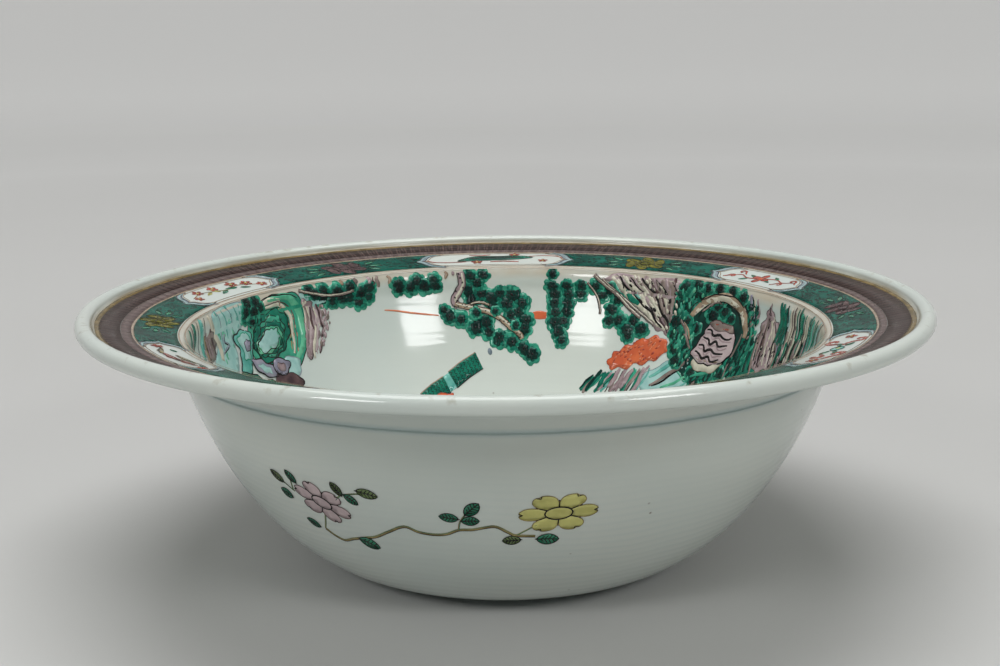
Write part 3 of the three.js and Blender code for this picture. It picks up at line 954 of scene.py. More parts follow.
# sprays on the outside wall: places are degrees from the spray's front and heights
spray = {
    "branch": [(-35.5, 43.9), (-34, 41), (-32.1, 39.4), (-29.6, 41.3), (-26.6, 43.2), (-24, 44.9), (-21, 48.6),
               (-17.7, 52.2), (-15.4, 50.2), (-12.8, 49.4), (-10.4, 50), (-8.1, 52.4), (-5.8, 52.8), (-3.6, 54),
               (-1.8, 54.4), (0.2, 51.6), (1.5, 50), (4.8, 49.4)],
    "stems": [
        [(-33.2, 53.5), (-34.3, 48.4), (-35.5, 43.9)],
        [(-38.6, 60.6), (-40, 63.2), (-41.6, 66)],
        [(-38.8, 61.4), (-38.4, 66)],
        [(-29.6, 60.6), (-28.2, 63.4), (-26, 65), (-23, 66.2)],
        [(-27.6, 63.8), (-28.4, 65.4)],
        [(-8.1, 52.5), (-7.7, 56.4), (-6.4, 61)],
        [(1.6, 50.1), (4.8, 54.8)],
    ],
    "branchWidth": 1.3,
    # each leaf: its middle, length, width and lean
    "leaves": [((-41.6, 66.2), 7.2, 3.4, 140), ((-38, 67.8), 6.6, 3.2, 122), ((-41, 58.6), 6.2, 3.8, 150),
               ((-28.6, 66.4), 6.8, 3.2, 118), ((-26.3, 62.4), 6.6, 3.1, -38), ((-22.9, 66.3), 8.8, 3.6, -10),
               ((-37.9, 45.6), 6.8, 3.4, 155), ((-26.2, 40.6), 9.6, 4.6, -22), ((-9.5, 58.3), 7.4, 3.4, 172),
               ((-5.6, 62.6), 7.8, 4.1, 46), ((-6, 57.1), 7, 3.5, 2), ((0.8, 47.6), 7.4, 3.6, 184),
               ((7, 47.7), 9, 4.4, -3)],
    "oliveLeaves": (0, 3, 5, 11),
    "leafNodes": ["upper_left", "upper_right", "under_bloom", "low", "middle", "right_inner", "right_outer"],
    "mauve": {"middle": (-32.9, 58.2), "width": 26.0, "height": 17.2, "lean": -21, "edge": "plum"},
    "yellow": {"middle": (8.4, 60.3), "width": 30.0, "height": 18.6, "lean": 2, "edge": "brown"},
}


def outerSpot(place):
    return place[0] * flat["outer"], place[1]


def outerLine(places):
    return smooth([outerSpot(place) for place in places])


def leafDrawing(drawing, paint, centre, length, width, lean):
    edge = []
    for side in (1, -1):
        for step in range(10):
            share = step / 10
            edge.append(((share - 0.5) * side * length, side * math.sin(math.pi * share) ** 0.65 * width * 0.6))
    edge = leanAt(edge, centre, lean)
    fill(drawing, paint, edge, 1)
    outlineStroke(drawing, "ink", edge, 0.34, 2)
    stroke(drawing, "ink", leanAt([(-length * 0.56, 0), (0, 0.12), (length * 0.44, 0)], centre, lean), 0.42, 3)
    for along in (-0.3, -0.13, 0.04, 0.21):
        for side in (-1, 1):
            reach = width * (0.52 - abs(along) * 0.6)
            vein = [(along * length, 0), ((along + 0.09) * length, side * reach * 0.6),
                    ((along + 0.14) * length, side * reach)]
            stroke(drawing, "ink", leanAt(vein, centre, lean), 0.34, 3)


def bloomPoint(bloom, reach, turn):
    # a share of the bloom's reach at a turn in degrees, on the drawing
    x, y = math.cos(turn * degree) * bloom["width"] / 2, math.sin(turn * degree) * bloom["height"] / 2
    return leanAt([(x * reach, y * reach)], outerSpot(bloom["middle"]), bloom["lean"])[0]


def bloomDrawing(drawing, paint, bloom):
    # six petals with notched tips, seams between them near the heart, and the heart over them
    for turn in range(0, 360, 60):
        tips = []
        for step in range(-6, 7):
            share = step / 6
            lobe = 0.66 + 0.34 * math.cos(share * 84 * degree) ** 0.62 - 0.05 * max(1 - abs(share) * 5, 0)
            tips.append(bloomPoint(bloom, lobe, turn + share * 25))
        left, right = bloomPoint(bloom, 0.56, turn - 29.3), bloomPoint(bloom, 0.56, turn + 29.3)
        root = [bloomPoint(bloom, 0.28, turn + 26), bloomPoint(bloom, 0.28, turn - 26)]
        fill(drawing, paint, [root[1], left, *tips, right, root[0]], 1)
        stroke(drawing, bloom["edge"], [left, *tips, right], 0.3, 2)
        seam = [bloomPoint(bloom, reach, turn + 30) for reach in (0.3, 0.5, 0.66)]
        stroke(drawing, "ink", seam, 0.46, 2)
        for side in (-5, 5):
            mark = ((0.99, turn + side), (0.93, turn + side * 0.4), (0.88, turn))
            stroke(drawing, "ink", [bloomPoint(bloom, *place) for place in mark], 0.42, 3, 0.6)
    heart = oval(outerSpot(bloom["middle"]), bloom["width"] * 0.345, bloom["height"] * 0.31, bloom["lean"])
    fill(drawing, paint, heart, 3)
    outlineStroke(drawing, "ink", heart, 0.55, 4)


sides = (("front", 0), ("back", 180))

drawing = emptyPiece("branchDrawing")
route = outerLine(spray["branch"])
stroke(drawing, "brown", route, spray["branchWidth"], 0)
stroke(drawing, "leaf", [leftOf(route, index, 0.42) for index in range(len(route))], 0.24, 1, 0.8)
stroke(drawing, "ink", [leftOf(route, index, -0.56) for index in range(len(route))], 0.18, 1)
for stem in spray["stems"]:
    stroke(drawing, "brown", outerLine(stem), 0.7, 0)
    stroke(drawing, "leaf", [(x + 0.2, y + 0.1) for x, y in outerLine(stem)], 0.26, 1)
finishDrawing(drawing)
for side, turn in sides:
    layOnGlaze(drawing, side + "Branch", onOuterWall, turn, [side + "_branch"])
putAway(drawing)

drawing = emptyPiece("leavesDrawing")
for index, (middle, length, width, lean) in enumerate(spray["leaves"]):
    leafDrawing(drawing, "olive" if index in spray["oliveLeaves"] else "leaf", outerSpot(middle),
                length, width, lean)
finishDrawing(drawing)
for side, turn in sides:
    nodes = [f"{side}_leaves_{name}" for name in spray["leafNodes"]]
    layOnGlaze(drawing, side + "Leaves", onOuterWall, turn, nodes)
putAway(drawing)

for name, paint in (("mauve", "petal"), ("yellow", "yellow")):
    drawing = emptyPiece("bloomDrawing")
    bloomDrawing(drawing, paint, spray[name])
    finishDrawing(drawing)
    for side, turn in sides:
        nodes = [f"{side}_{name}_bloom", f"{side}_{name}_heart"]
        layOnGlaze(drawing, f"{side}{name.title()}Bloom", onOuterWall, turn, nodes)
    putAway(drawing)
print("sprays done")


# landscape in the well: places are degrees to the right of the back and heights
def spot(place):
    return place[0] * flat["inner"], place[1]


def line(places, steps=5):
    return smooth([spot(place) for place in places], steps)


def patch(places, steps=5):
    return smooth([spot(place) for place in places], steps, True)


def scallopedDisc(centre, size, scallops, lean=0.0):
    # each scallop is a little larger or smaller than its neighbours
    swells = [draw.uniform(0.84, 1.1) for _ in range(scallops)]
    edge = []
    for step in range(scallops * 4):
        turn = 2 * math.pi * step / (scallops * 4)
        reach = size / 2 * swells[step // 4] * (0.84 + 0.16 * abs(math.sin(scallops * turn / 2)))
        edge.append((centre[0] + reach * math.cos(turn + lean), centre[1] + reach * math.sin(turn + lean)))
    return edge


tuft = {
    "size": 9.6,
    "halo": 1.18,
    "core": (6.0, 7.8),
    "heart": 1.7,
    "scallops": 8,
    "needles": 14,
    "kinds": 5,
    "unit": 10.0,
}


def tuftDrawing():
    # a scalloped tuft of pine: green steps inwards to a black heart, with a fan of needles
    piece = emptyPiece("tuftDrawing")
    half = tuft["size"] / 2
    fill(piece, "pine", scallopedDisc((0, 0), tuft["size"], tuft["scallops"]))
    middle, core = (draw.uniform(-0.5, 0.5), -0.2), draw.uniform(*tuft["core"])
    fill(piece, "deep", scallopedDisc(middle, core, tuft["scallops"] - 1), 0.8)
    for needle in range(tuft["needles"]):
        turn = 2 * math.pi * needle / tuft["needles"] + draw.uniform(-0.12, 0.12)
        reach = half * (draw.uniform(0.66, 0.84) if needle % 2 else draw.uniform(0.4, 0.54))
        route = [(math.cos(turn), math.sin(turn)), (reach * math.cos(turn), reach * math.sin(turn))]
        stroke(piece, "ink", route, 0.2 if needle % 2 else 0.34, 1.3)
    fill(piece, "ink", scallopedDisc((0, 0), tuft["heart"], 4), 1.6)
    deselectAll()
    return piece


draw = random.Random(11)
tufts = [tuftDrawing() for _ in range(tuft["kinds"])]


def pineMass(drawing, places, coat=1):
    # each tuft is given as degrees, height and width: first all the pale edges, then the tufts
    for angle, height, width in places:
        centre = spot((angle + draw.uniform(-0.2, 0.2), height - 0.3))
        halo = scallopedDisc(centre, width * tuft["halo"] * draw.uniform(0.92, 1.04), 6, draw.uniform(0, 6))
        fill(drawing, "bright", halo, coat - 0.8)
    deselectAll()
    copies = []
    for index, (angle, height, width) in enumerate(places):
        kind = tufts[index % len(tufts)]
        copy = kind.copy()
        copy.data = kind.data.copy()
        bpy.context.collection.objects.link(copy)
        x, y = spot((angle, height))
        copy.location = (x, y, brush["coat"] * coat + brush["overlap"] * (index % 11))
        copy.rotation_euler.z = draw.uniform(0, 6.28)
        copy.scale = (width / tuft["unit"], width / tuft["unit"] * draw.uniform(0.86, 0.96), 1)
        copies.append(copy)
    for copy in [*copies, drawing]:
        copy.select_set(True)
    bpy.context.view_layer.objects.active = drawing
    bpy.ops.object.join()
    bpy.ops.object.mode_set(mode="EDIT")


def inside(at, edge):
    crossings = 0
    for (x0, y0), (x1, y1) in zip(edge, edge[1:] + edge[:1]):
        if (y0 > at[1]) != (y1 > at[1]) and at[0] < x0 + (at[1] - y0) * (x1 - x0) / (y1 - y0):
            crossings += 1
    return crossings % 2 == 1


def dabs(drawing, paint, places, count, size, coat, lean=0.0):
    # short touches of the brush, scattered inside an outline
    edge = patch(places, 3)
    xs, ys = zip(*edge)
    made = 0
    while made < count:
        at = (draw.uniform(min(xs), max(xs)), draw.uniform(min(ys), max(ys)))
        if inside(at, edge):
            length = size * draw.uniform(0.7, 1.4)
            touch = oval(at, length, length * draw.uniform(0.35, 0.6), lean + draw.uniform(-25, 25), 8)
            fill(drawing, paint, touch, coat)
            made += 1


def wetPatch(drawing, paint, places, coat=0, edgePaint="ink", edgeWidth=0.4, wobble=0.3):
    # a wash with a crinkled outline, which swells and thins as a brush does
    edge = patch(places)
    ripple, start = draw.uniform(0.9, 1.4), draw.uniform(0, 6)
    sways = [1.4 * math.sin(index * ripple + start) + draw.uniform(-0.6, 0.6) for index in range(len(edge))]
    edge = [leftOf(edge, index, wobble * sway) for index, sway in enumerate(sways)]
    fill(drawing, paint, edge, coat)
    if edgeWidth:
        third = len(edge) // 3
        for start in (0, third, 2 * third):
            part = [edge[(start + step) % len(edge)] for step in range(third + 2)]
            stroke(drawing, edgePaint, part, edgeWidth * draw.uniform(1.0, 1.5), coat + 0.4, 0.5)


def streaks(drawing, strokes, coat=1):
    # each stroke is a paint, a width and its places; it wavers like a brush held by hand
    for paint, width, places in strokes:
        route = line(places)
        start = draw.uniform(0, 6)
        wavers = [0.3 * math.sin(index * 0.8 + start) + draw.uniform(-0.12, 0.12) for index in range(len(route))]
        held = [leftOf(route, index, waver) for index, waver in enumerate(wavers)]
        stroke(drawing, paint, held, width, coat, 0.5)


def strokesBetween(drawing, choice, high, low, count, width, coat):
    # strokes side by side, from somewhere on the upper line to somewhere on the lower one
    for index in range(count):
        share = (index + draw.uniform(0.1, 0.9)) / count
        ends = []
        for first, last in (high, low):
            angle = lerp(first[0], last[0], share) + draw.uniform(-0.4, 0.4)
            height = lerp(first[1], last[1], share) + draw.uniform(-0.4, 0.4) * 5
            ends.append((angle, height))
        top, foot = ends
        middle = ((top[0] + foot[0]) / 2 + draw.uniform(-0.6, 0.6), (top[1] + foot[1]) / 2)
        paint = draw.choice(choice)
        breadth = width * draw.uniform(0.6, 1.4)
        streaks(drawing, [(paint, breadth, [top, middle, foot])], coat + 0.25 * (index % 5))


def trunk(drawing, places, width, coat=5, paint="bark"):
    route = line(places, 6)
    sway = [draw.uniform(-0.4, 0.4) for _ in route]
    stroke(drawing, paint, route, width, coat, 0.25)
    for side, thick in ((0.5, 0.35), (-0.5, 0.5)):
        edge = [leftOf(route, index, side * width * 0.92 + sway[index] * 0.7) for index in range(len(route))]
        stroke(drawing, "ink", edge, thick, coat + 1, 0.5)
    pale = [leftOf(route, index, width * 0.12 + sway[-index] * 0.5) for index in range(1, len(route) - 1)]
    stroke(drawing, "cream", pale, width * 0.36, coat + 1, 0.6)
    for index in range(1, len(route) - 2, 2):
        at = leftOf(route, index, draw.uniform(-0.34, 0.34) * width)
        fill(drawing, "ink", oval(at, width * 0.3, width * 0.2, draw.uniform(0, 180), 8), coat + 2)


def layLandscape(drawing, name, node):
    finishDrawing(drawing)
    layOnGlaze(drawing, name, onInnerWall, 0, [node])
    putAway(drawing)


# rocks at the left: a pale cliff, a green rock round its hollow, lilac stones and a ragged mauve cliff
drawing = emptyPiece("rocksLeftDrawing")
wetPatch(drawing, "wash", [(-79, 106.8), (-66.5, 105.8), (-67.5, 99), (-69.6, 93), (-73, 90.6), (-74, 82),
                           (-77, 75), (-86, 82), (-81, 90), (-80.4, 99)], 0, "grey", 0.3)
wetPatch(drawing, "wash", [(-49.4, 104.2), (-44, 101.6), (-42.4, 96), (-45.4, 94.6), (-48.8, 98)], 0, "grey", 0.3)
streaks(drawing, (
    ("grey", 0.7, [(-77.4, 105.6), (-77, 97), (-78.4, 88)]),
    ("turquoise", 1.1, [(-75.4, 106), (-74.4, 98), (-75.2, 92)]),
    ("grey", 0.6, [(-73, 106), (-72, 99), (-72.4, 93)]),
    ("turquoise", 0.9, [(-70.6, 105.4), (-69.6, 99), (-70.2, 95)]),
    ("cream", 5.2, [(-81.4, 106.6), (-81, 99), (-79.8, 92), (-80.6, 84)]),
    ("grey", 1.8, [(-76, 94.6), (-77.2, 91), (-75.6, 88.8), (-78, 87.6), (-79, 86)]),
    ("ink", 0.8, [(-76.2, 94.2), (-77.2, 91), (-75.8, 89), (-78.6, 86.4)]),
    ("pine", 3.6, [(-90.6, 106.8), (-93, 102), (-96.6, 97)]),
    ("pine", 3.0, [(-95.4, 106.4), (-98.6, 101), (-101, 96)]),
    ("turquoise", 5.4, [(-86, 106.8), (-88, 98), (-89.8, 89)]),
    ("wash", 1.6, [(-85.4, 106.4), (-87.4, 97), (-88.6, 90)]),
    ("ink", 0.6, [(-88.4, 106.6), (-90.8, 99), (-92.6, 92)]),
    ("ink", 0.6, [(-83.8, 106.4), (-85.4, 100), (-86.4, 96)]),
    ("bark", 2.0, [(-93, 106.6), (-95.4, 101), (-98.6, 96)])))
dabs(drawing, "turquoise", [(-78, 106), (-68, 105), (-70, 94), (-75, 90), (-78, 84)], 16, 3.0, 0.3, 85)
dabs(drawing, "mint", [(-78, 100), (-70, 98), (-74, 84), (-83, 84)], 14, 2.6, 0.4, 80)
wetPatch(drawing, "bark", [(-81.8, 99.8), (-80.8, 95), (-82.2, 89.6), (-87.5, 85), (-88.4, 91), (-86.2, 96)],
         2, "plum", 0, 0.5)
strokesBetween(drawing, ("plum", "bark", "mauve", "plum", "brown"), ((-87, 97.4), (-81.4, 100)),
               ((-88.4, 85.4), (-82.4, 88.6)), 8, 1.7, 2.4)
wetPatch(drawing, "bright", [(-62.8, 102.8), (-58, 105.2), (-53, 105.4), (-49.6, 102), (-48.8, 92), (-49.8, 80),
                             (-53.2, 70.6), (-57, 68), (-62, 72), (-67.6, 77.6),
                             (-68.2, 86), (-66.8, 94), (-64.8, 99)], 0.6)
streaks(drawing, (
    ("mint", 4.4, [(-59, 104), (-53.8, 103.6), (-50.9, 98), (-50.4, 90), (-51.2, 80), (-54.6, 72)]),
    ("cream", 3.0, [(-61.8, 101.8), (-58.6, 103), (-55.4, 102.6)]),
    ("pine", 1.0, [(-49.4, 98), (-49.2, 88), (-50.6, 78)]),
    ("cream", 2.2, [(-61.2, 99.8), (-57.6, 100.6), (-54.6, 98.8), (-53.2, 93), (-53.6, 84), (-55, 75)]),
    ("brown", 1.0, [(-54.4, 95), (-54.2, 86), (-55.2, 77)]),
    ("ink", 0.5, [(-60.6, 98.8), (-57.4, 99.2), (-54.8, 97.4), (-54, 92), (-54.6, 84)]),
    ("plum", 0.7, [(-60.4, 101.2), (-57.4, 101.8), (-54, 100.2), (-52.4, 95), (-52.4, 86), (-53.8, 76)]),
    ("ink", 0.6, [(-63.6, 101.6), (-59.4, 104.8), (-54, 105), (-50.4, 101.8)])), 1.6)
wetPatch(drawing, "pine", [(-56.4, 98), (-60, 97.6), (-63.2, 95.2), (-65.2, 90.4), (-67, 85.6), (-66.6, 79.6),
                           (-65, 73.6), (-61.6, 74.6), (-58.6, 77.2), (-56.2, 80.6), (-54.4, 86.6),
                           (-54.2, 92.6)], 3, "ink", 0.6, 0.5)
wetPatch(drawing, "bright", [(-57.2, 95), (-60.2, 95), (-62.6, 92), (-64.4, 86.6), (-65.8, 81.4), (-63.6, 76.6),
                             (-60.6, 77), (-57.6, 80.8), (-55.8, 87), (-56, 92.4)], 3.6, "ink", 0.5, 0.5)
wetPatch(drawing, "pine", [(-58, 93), (-60.6, 92.6), (-62.8, 90.2), (-64.8, 86), (-66, 81.6), (-64.6, 77.8),
                           (-60.2, 78.2), (-57.6, 82), (-56.4, 87.4), (-56.6, 90.8)], 4.4, "ink", 0.4, 0.5)
wetPatch(drawing, "mint", [(-59.6, 91), (-61.6, 90.2), (-63, 87.6), (-65.8, 84.6), (-65.6, 79.4), (-62, 78.4),
                           (-58.8, 80.6), (-57, 85.4), (-57.4, 89.2)], 5.2, "ink", 0.3)
wetPatch(drawing, "wash", [(-59.8, 89.8), (-62, 88.6), (-65.2, 84), (-64.8, 80), (-61.6, 79.6), (-58.6, 82.2),
                           (-57.8, 86.4), (-58, 88.8)], 6, "ink", 0.5, 0.4)
wetPatch(drawing, "turquoise", [(-68.5, 93), (-71.4, 92.8), (-73.5, 90.2), (-72.4, 86), (-73, 81), (-74.6, 74.6),
                                (-71.2, 73), (-69, 78.6), (-67.4, 84), (-66.6, 89.6)], 3, "ink", 0.6)
wetPatch(drawing, "wash", [(-68.8, 91.4), (-71, 91.2), (-72.2, 89), (-71.2, 85), (-71.6, 80), (-70, 79),
                           (-68.4, 84), (-67.4, 89)], 3.6, "bright", 0.7)
wetPatch(drawing, "lilac", [(-69.2, 88), (-70.2, 85.4), (-69.6, 82.4), (-68.2, 84.4), (-68, 87.2)], 4.2)
wetPatch(drawing, "lilac", [(-69.6, 78), (-68.4, 72), (-66, 68.4), (-63.2, 66.8), (-62.2, 70.6), (-64.6, 74.2),
                            (-66.8, 77.6)], 4.6, "ink", 0.6)
wetPatch(drawing, "wash", [(-68, 74.6), (-66.4, 70.4), (-64.2, 69.2), (-64.4, 72), (-66.6, 75)], 5.2, "grey", 0.6)
wetPatch(drawing, "lilac", [(-62.6, 74.6), (-59.4, 74.4), (-57.4, 71), (-59.4, 67), (-62.4, 67.6)], 4.8, "ink", 0.6)
wetPatch(drawing, "mauve", [(-61.4, 72.4), (-59.6, 72), (-59.4, 69), (-61.4, 69)], 5.4, "plum", 0.4)
wetPatch(drawing, "wash", [(-58.6, 73.8), (-54.8, 72.8), (-54.6, 67.4), (-57, 63.6), (-59.8, 66.6)],
         4.4, "grey", 0.5)
wetPatch(drawing, "plum", [(-64, 66.4), (-60.6, 67.6), (-57, 65.2), (-55.4, 61), (-58, 57), (-64, 58)], 5)
wetPatch(drawing, "pine", [(-76, 74), (-71, 72.4), (-68, 68), (-64, 64.6), (-66, 58), (-74, 60)], 3.4)
dabs(drawing, "ink", [(-66, 94), (-68, 84), (-67, 76), (-64, 80)], 8, 1.4, 5.8, 80)
dabs(drawing, "deep", [(-54.6, 98), (-60, 99), (-66, 92), (-67.4, 84), (-66, 74), (-60, 75), (-55, 80),
                       (-53.6, 90)], 26, 2.0, 3.4, 30)
dabs(drawing, "mint", [(-57.6, 96), (-62, 95), (-66, 86), (-65, 76), (-60, 76), (-55.6, 86)], 14, 1.3, 4.0, 60)
dabs(drawing, "tan", [(-60, 101), (-54, 100), (-52, 90), (-53, 78), (-55.4, 74), (-54.6, 90), (-57, 99)],
     14, 1.8, 2.2, 80)
wetPatch(drawing, "mauve", [(-49, 100), (-46.8, 98.4), (-46.2, 92), (-46.2, 84), (-47.4, 77), (-49.4, 72),
                            (-51.6, 71), (-50.4, 77), (-49.8, 84), (-49, 92)], 2, "plum", 0.3, 0.6)
strokesBetween(drawing, ("mauve", "bark", "petal", "cream", "plum", "petal"), ((-49, 99), (-44.2, 95.4)),
               ((-49.6, 85), (-43.8, 84)), 10, 1.5, 2.6)
strokesBetween(drawing, ("petal", "bark", "mauve", "plum", "cream"), ((-49.8, 87), (-44, 86)),
               ((-51.6, 71.4), (-47.4, 72.6)), 8, 1.4, 3.2)
raggedEdge = [(-46, 98.6), (-43.4, 94), (-42.6, 89), (-43.2, 84), (-44.8, 78.6), (-47.4, 72), (-48.2, 73),
              (-46, 79), (-44.8, 84.4), (-44.4, 89), (-45.2, 94)]
dabs(drawing, "mauve", raggedEdge, 14, 3.0, 3.9, 60)
dabs(drawing, "bark", raggedEdge, 10, 2.4, 4.3, 60)
dabs(drawing, "petal", raggedEdge, 8, 2.0, 4.6, 60)
pineMass(drawing, [(-65.6, 105.4, 8), (-62.6, 104.4, 8.6), (-66.6, 101, 8.4), (-63.6, 99.6, 9), (-64.8, 95.6, 8),
                   (-67.4, 97.4, 6.4), (-61.6, 101.2, 7)], 4)
layLandscape(drawing, "rocksLeft", "rocks_left")

# pines along the left of the back, with bare trunk ends under the shoulder
drawing = emptyPiece("pineLeftDrawing")
pineMass(drawing, [
    (-46.8, 104.4, 8), (-45.4, 101.6, 8.6), (-43, 102.6, 9.4), (-43.4, 98.4, 8.6), (-41, 96.6, 9.2),
    (-39.6, 101.4, 9.6), (-38.4, 97.4, 9), (-36.2, 102.4, 9.6), (-36.4, 97, 8.4), (-34.2, 94.6, 9.6),
    (-33.4, 98.8, 9.8), (-31.6, 101.2, 8.8), (-31.8, 96.4, 8), (-24.4, 101.6, 9.2), (-21.6, 99, 9.8),
    (-18.4, 99.2, 9.6), (-15.8, 99.2, 8.8), (-20, 102.8, 8.6), (-16.2, 102.8, 7.8), (-24.4, 98.4, 7.4)])
trunk(drawing, [(-49.6, 105), (-46.4, 102.6), (-43, 100.4), (-39.4, 99.6), (-35.4, 100.8)], 1.8)
streaks(drawing, (
    ("tan", 1.8, [(-38.4, 107), (-38, 105.8), (-38.2, 104.6)]),
    ("bark", 2.0, [(-34.8, 107), (-34.5, 105.6), (-34.7, 104.4)]),
    ("mauve", 2.2, [(-31.6, 107), (-31.2, 105.4), (-31.5, 103.8)]),
    ("bark", 2.2, [(-29.2, 106.8), (-29.4, 104), (-29.1, 101)]),
    ("tan", 1.8, [(-26.8, 106.6), (-26.4, 104.6), (-26.6, 102.2)]),
    ("plum", 0.7, [(-30.4, 106.4), (-30.2, 104), (-30.4, 102.4)]),
    ("tan", 1.8, [(-13.4, 106.6), (-13.2, 104.6), (-13.4, 102.8)]),
    ("mauve", 1.6, [(-11.6, 106.4), (-11.8, 104.4)])), 3)
layLandscape(drawing, "pineLeft", "pine_left")

# leaning pine in the middle of the back, a low sun and a streak of cloud
drawing = emptyPiece("pineCentreDrawing")
stroke(drawing, "coral", line([(-28.4, 88.4), (-26, 87.6), (-22, 85.6), (-18, 84), (-15.6, 83.2)]), 1.1, 0, 0.5)
stroke(drawing, "orange", line([(6.6, 82), (8.2, 82.2), (9.8, 82)]), 4.6, 0, 0.3)
fill(drawing, "grey", oval(spot((-3.8, 63.2)), 2.6, 3.6, 12, 18))
pineMass(drawing, [
    (-7.8, 103.8, 8.4), (-4.8, 104.2, 8), (-6.2, 100, 8.8), (-8.2, 95.6, 9), (-5.4, 94, 10), (-7.6, 90.6, 9),
    (-3.2, 91.4, 10), (-1.2, 94, 9.4), (1.6, 93, 11), (4, 88.8, 10.4), (0.4, 88.2, 10), (-2.6, 86.8, 9),
    (3.2, 83.6, 9.8), (5, 79.4, 9.8), (1.4, 82, 9), (4.6, 75.2, 9.6), (2.2, 77.8, 8.4), (-14.2, 86, 7.4),
    (-13, 82.4, 9), (-10.4, 80.4, 9.4), (-7, 76, 10.6), (-4.4, 78.8, 9.4), (-4, 73.4, 8.8), (-1.4, 70, 10.4),
    (1.8, 68.2, 10.4), (4.6, 64.8, 10), (6.8, 62, 10.2)])
trunk(drawing, [(-10, 106), (-9.7, 99), (-11.6, 91), (-10.6, 87.4)], 4.4, 5, "mauve")
trunk(drawing, [(-11.6, 88.8), (-9.4, 87.2), (-5.2, 85), (-1.4, 81), (0.8, 76.6), (3.4, 72.4), (4.2, 69.6)],
      3.2, 7, "tan")
pineMass(drawing, [(-6.8, 83.6, 6.6), (2.6, 76.8, 6.4), (-2.2, 84.4, 6)], 10)
trunk(drawing, [(-9.6, 87.2), (-6, 89.2), (-3.6, 87.6)], 1.5, 7, "tan")
layLandscape(drawing, "pineCentre", "pine_centre")

# pines hanging at the right of the back
drawing = emptyPiece("pineRightDrawing")
pineMass(drawing, [
    (10.8, 104.8, 7), (10.8, 97.6, 8.4), (14.2, 98, 8.8), (17.6, 98.2, 8.8), (21, 98.8, 8.8), (11.4, 93.6, 9),
    (14.6, 93.8, 8.8), (11.6, 89, 9.6), (14.6, 89.2, 9), (11.8, 84, 9.8), (14.4, 84.6, 8.8), (12, 78.6, 9.8),
    (14, 79.6, 8.4), (12.8, 73.6, 9.8), (13.8, 69.4, 8.8), (17.6, 94.2, 7.8), (24.4, 97.4, 9), (26.4, 92.4, 9.2),
    (25.4, 86.6, 9), (27.2, 82, 9.8), (25, 80.8, 8.2), (29.6, 77, 10.2), (31, 82, 9), (33.4, 78.4, 9.4),
    (30.2, 74, 8), (22.6, 94, 7.6)])
trunk(drawing, [(20.5, 105), (23.4, 99.4), (26.4, 94.6), (29.4, 88.6), (32.6, 84)], 2.2)
trunk(drawing, [(19, 100.6), (21.8, 92), (22.6, 84)], 1.3)
layLandscape(drawing, "pineRight", "pine_right")

# rocks at the right: a streaked cliff, then a dark mass of pines with an arched trunk and a pale rock in it
drawing = emptyPiece("rocksRightDrawing")
wetPatch(drawing, "mauve", [(23.6, 105), (32, 105.6), (41.2, 105.2), (41.8, 98), (41.4, 89), (41.2, 79),
                            (39.4, 77.2), (36.6, 80), (33.2, 86), (29.6, 92.4), (26, 98.4)], 0, "bark", 0, 0.7)
strokesBetween(drawing, ("cream", "mauve", "bark", "wash", "mauve", "cream", "petal"), ((24.2, 104.8), (33, 105)),
               ((34.6, 85), (38.6, 84)), 12, 2.1, 0.6)
strokesBetween(drawing, ("mauve", "bark", "plum", "mauve", "petal", "bark"), ((32, 105), (41.4, 105)),
               ((37.4, 86), (41.2, 84)), 12, 2.1, 0.8)
streaks(drawing, (
    ("cream", 3.0, [(24.8, 104.6), (27.2, 98.6), (31, 91.4), (36.4, 83.4), (39.4, 79.2)]),
    ("cream", 3.2, [(27.6, 104.8), (30.4, 98.6), (33, 93.4)]),
    ("cream", 2.2, [(33.4, 104.8), (36.2, 98.4), (38.6, 92.2), (40.4, 86)]),
    ("bark", 2.6, [(30.6, 105), (33.6, 98), (36.2, 91), (38.8, 85), (40.6, 80)]),
    ("bark", 2.2, [(38.2, 105), (40.4, 99), (41.2, 93)]), ("bark", 1.8, [(26, 101.4), (28.8, 95), (31.4, 90.4)])))
streaks(drawing, (
    ("ink", 1.7, [(26.4, 104.8), (28.4, 99.4), (31.8, 92.6), (34.6, 88.4), (36.4, 84), (38.4, 80)]),
    ("ink", 2.0, [(31.8, 105), (34.4, 99), (36.2, 95), (37.2, 89.6), (39.4, 84.6), (40.2, 79.6)]),
    ("cream", 1.4, [(28.8, 101), (31, 97), (32.6, 94)]), ("cream", 1.6, [(36.6, 102), (38.6, 96), (39.8, 90)]),
    ("cream", 1.2, [(34.2, 93), (35.8, 88.6), (37.4, 84)]),
    ("ink", 1.0, [(35.4, 105), (37.6, 100), (39.4, 95), (40.6, 88)]),
    ("ink", 0.9, [(29, 105), (31, 100), (33.6, 96.6)]), ("ink", 0.8, [(39.6, 104.6), (41, 99)]),
    ("pine", 3.2, [(28, 97.4), (29.8, 93.6), (31.6, 90.6)]), ("turquoise", 1.4, [(30, 97.8), (31.8, 94)]),
    ("plum", 1.5, [(34.2, 103), (36.4, 97.2), (38.2, 91)]), ("plum", 1.2, [(36.8, 86.4), (38.8, 82), (40.2, 78)])),
        2)
trunk(drawing, [(22.4, 103), (25.4, 97.2), (28.6, 92), (32.4, 86.4), (36.4, 81)], 1.8, 4)
dabs(drawing, "ink", [(27, 104), (40.6, 104.6), (41, 84), (38, 80), (31, 91)], 20, 2.2, 2.8, 115)
dabs(drawing, "cream", [(27, 104), (40.6, 104.6), (41, 84), (38, 80), (31, 91)], 18, 2.2, 3.2, 115)
wetPatch(drawing, "deep", [(42, 104.6), (48, 105.6), (57, 105.4), (61.8, 100), (64.4, 88), (64.8, 76), (61, 65),
                           (53, 57), (48.4, 57), (45.4, 62), (42.2, 74), (41.2, 90)], 0, "bright", 1.2)
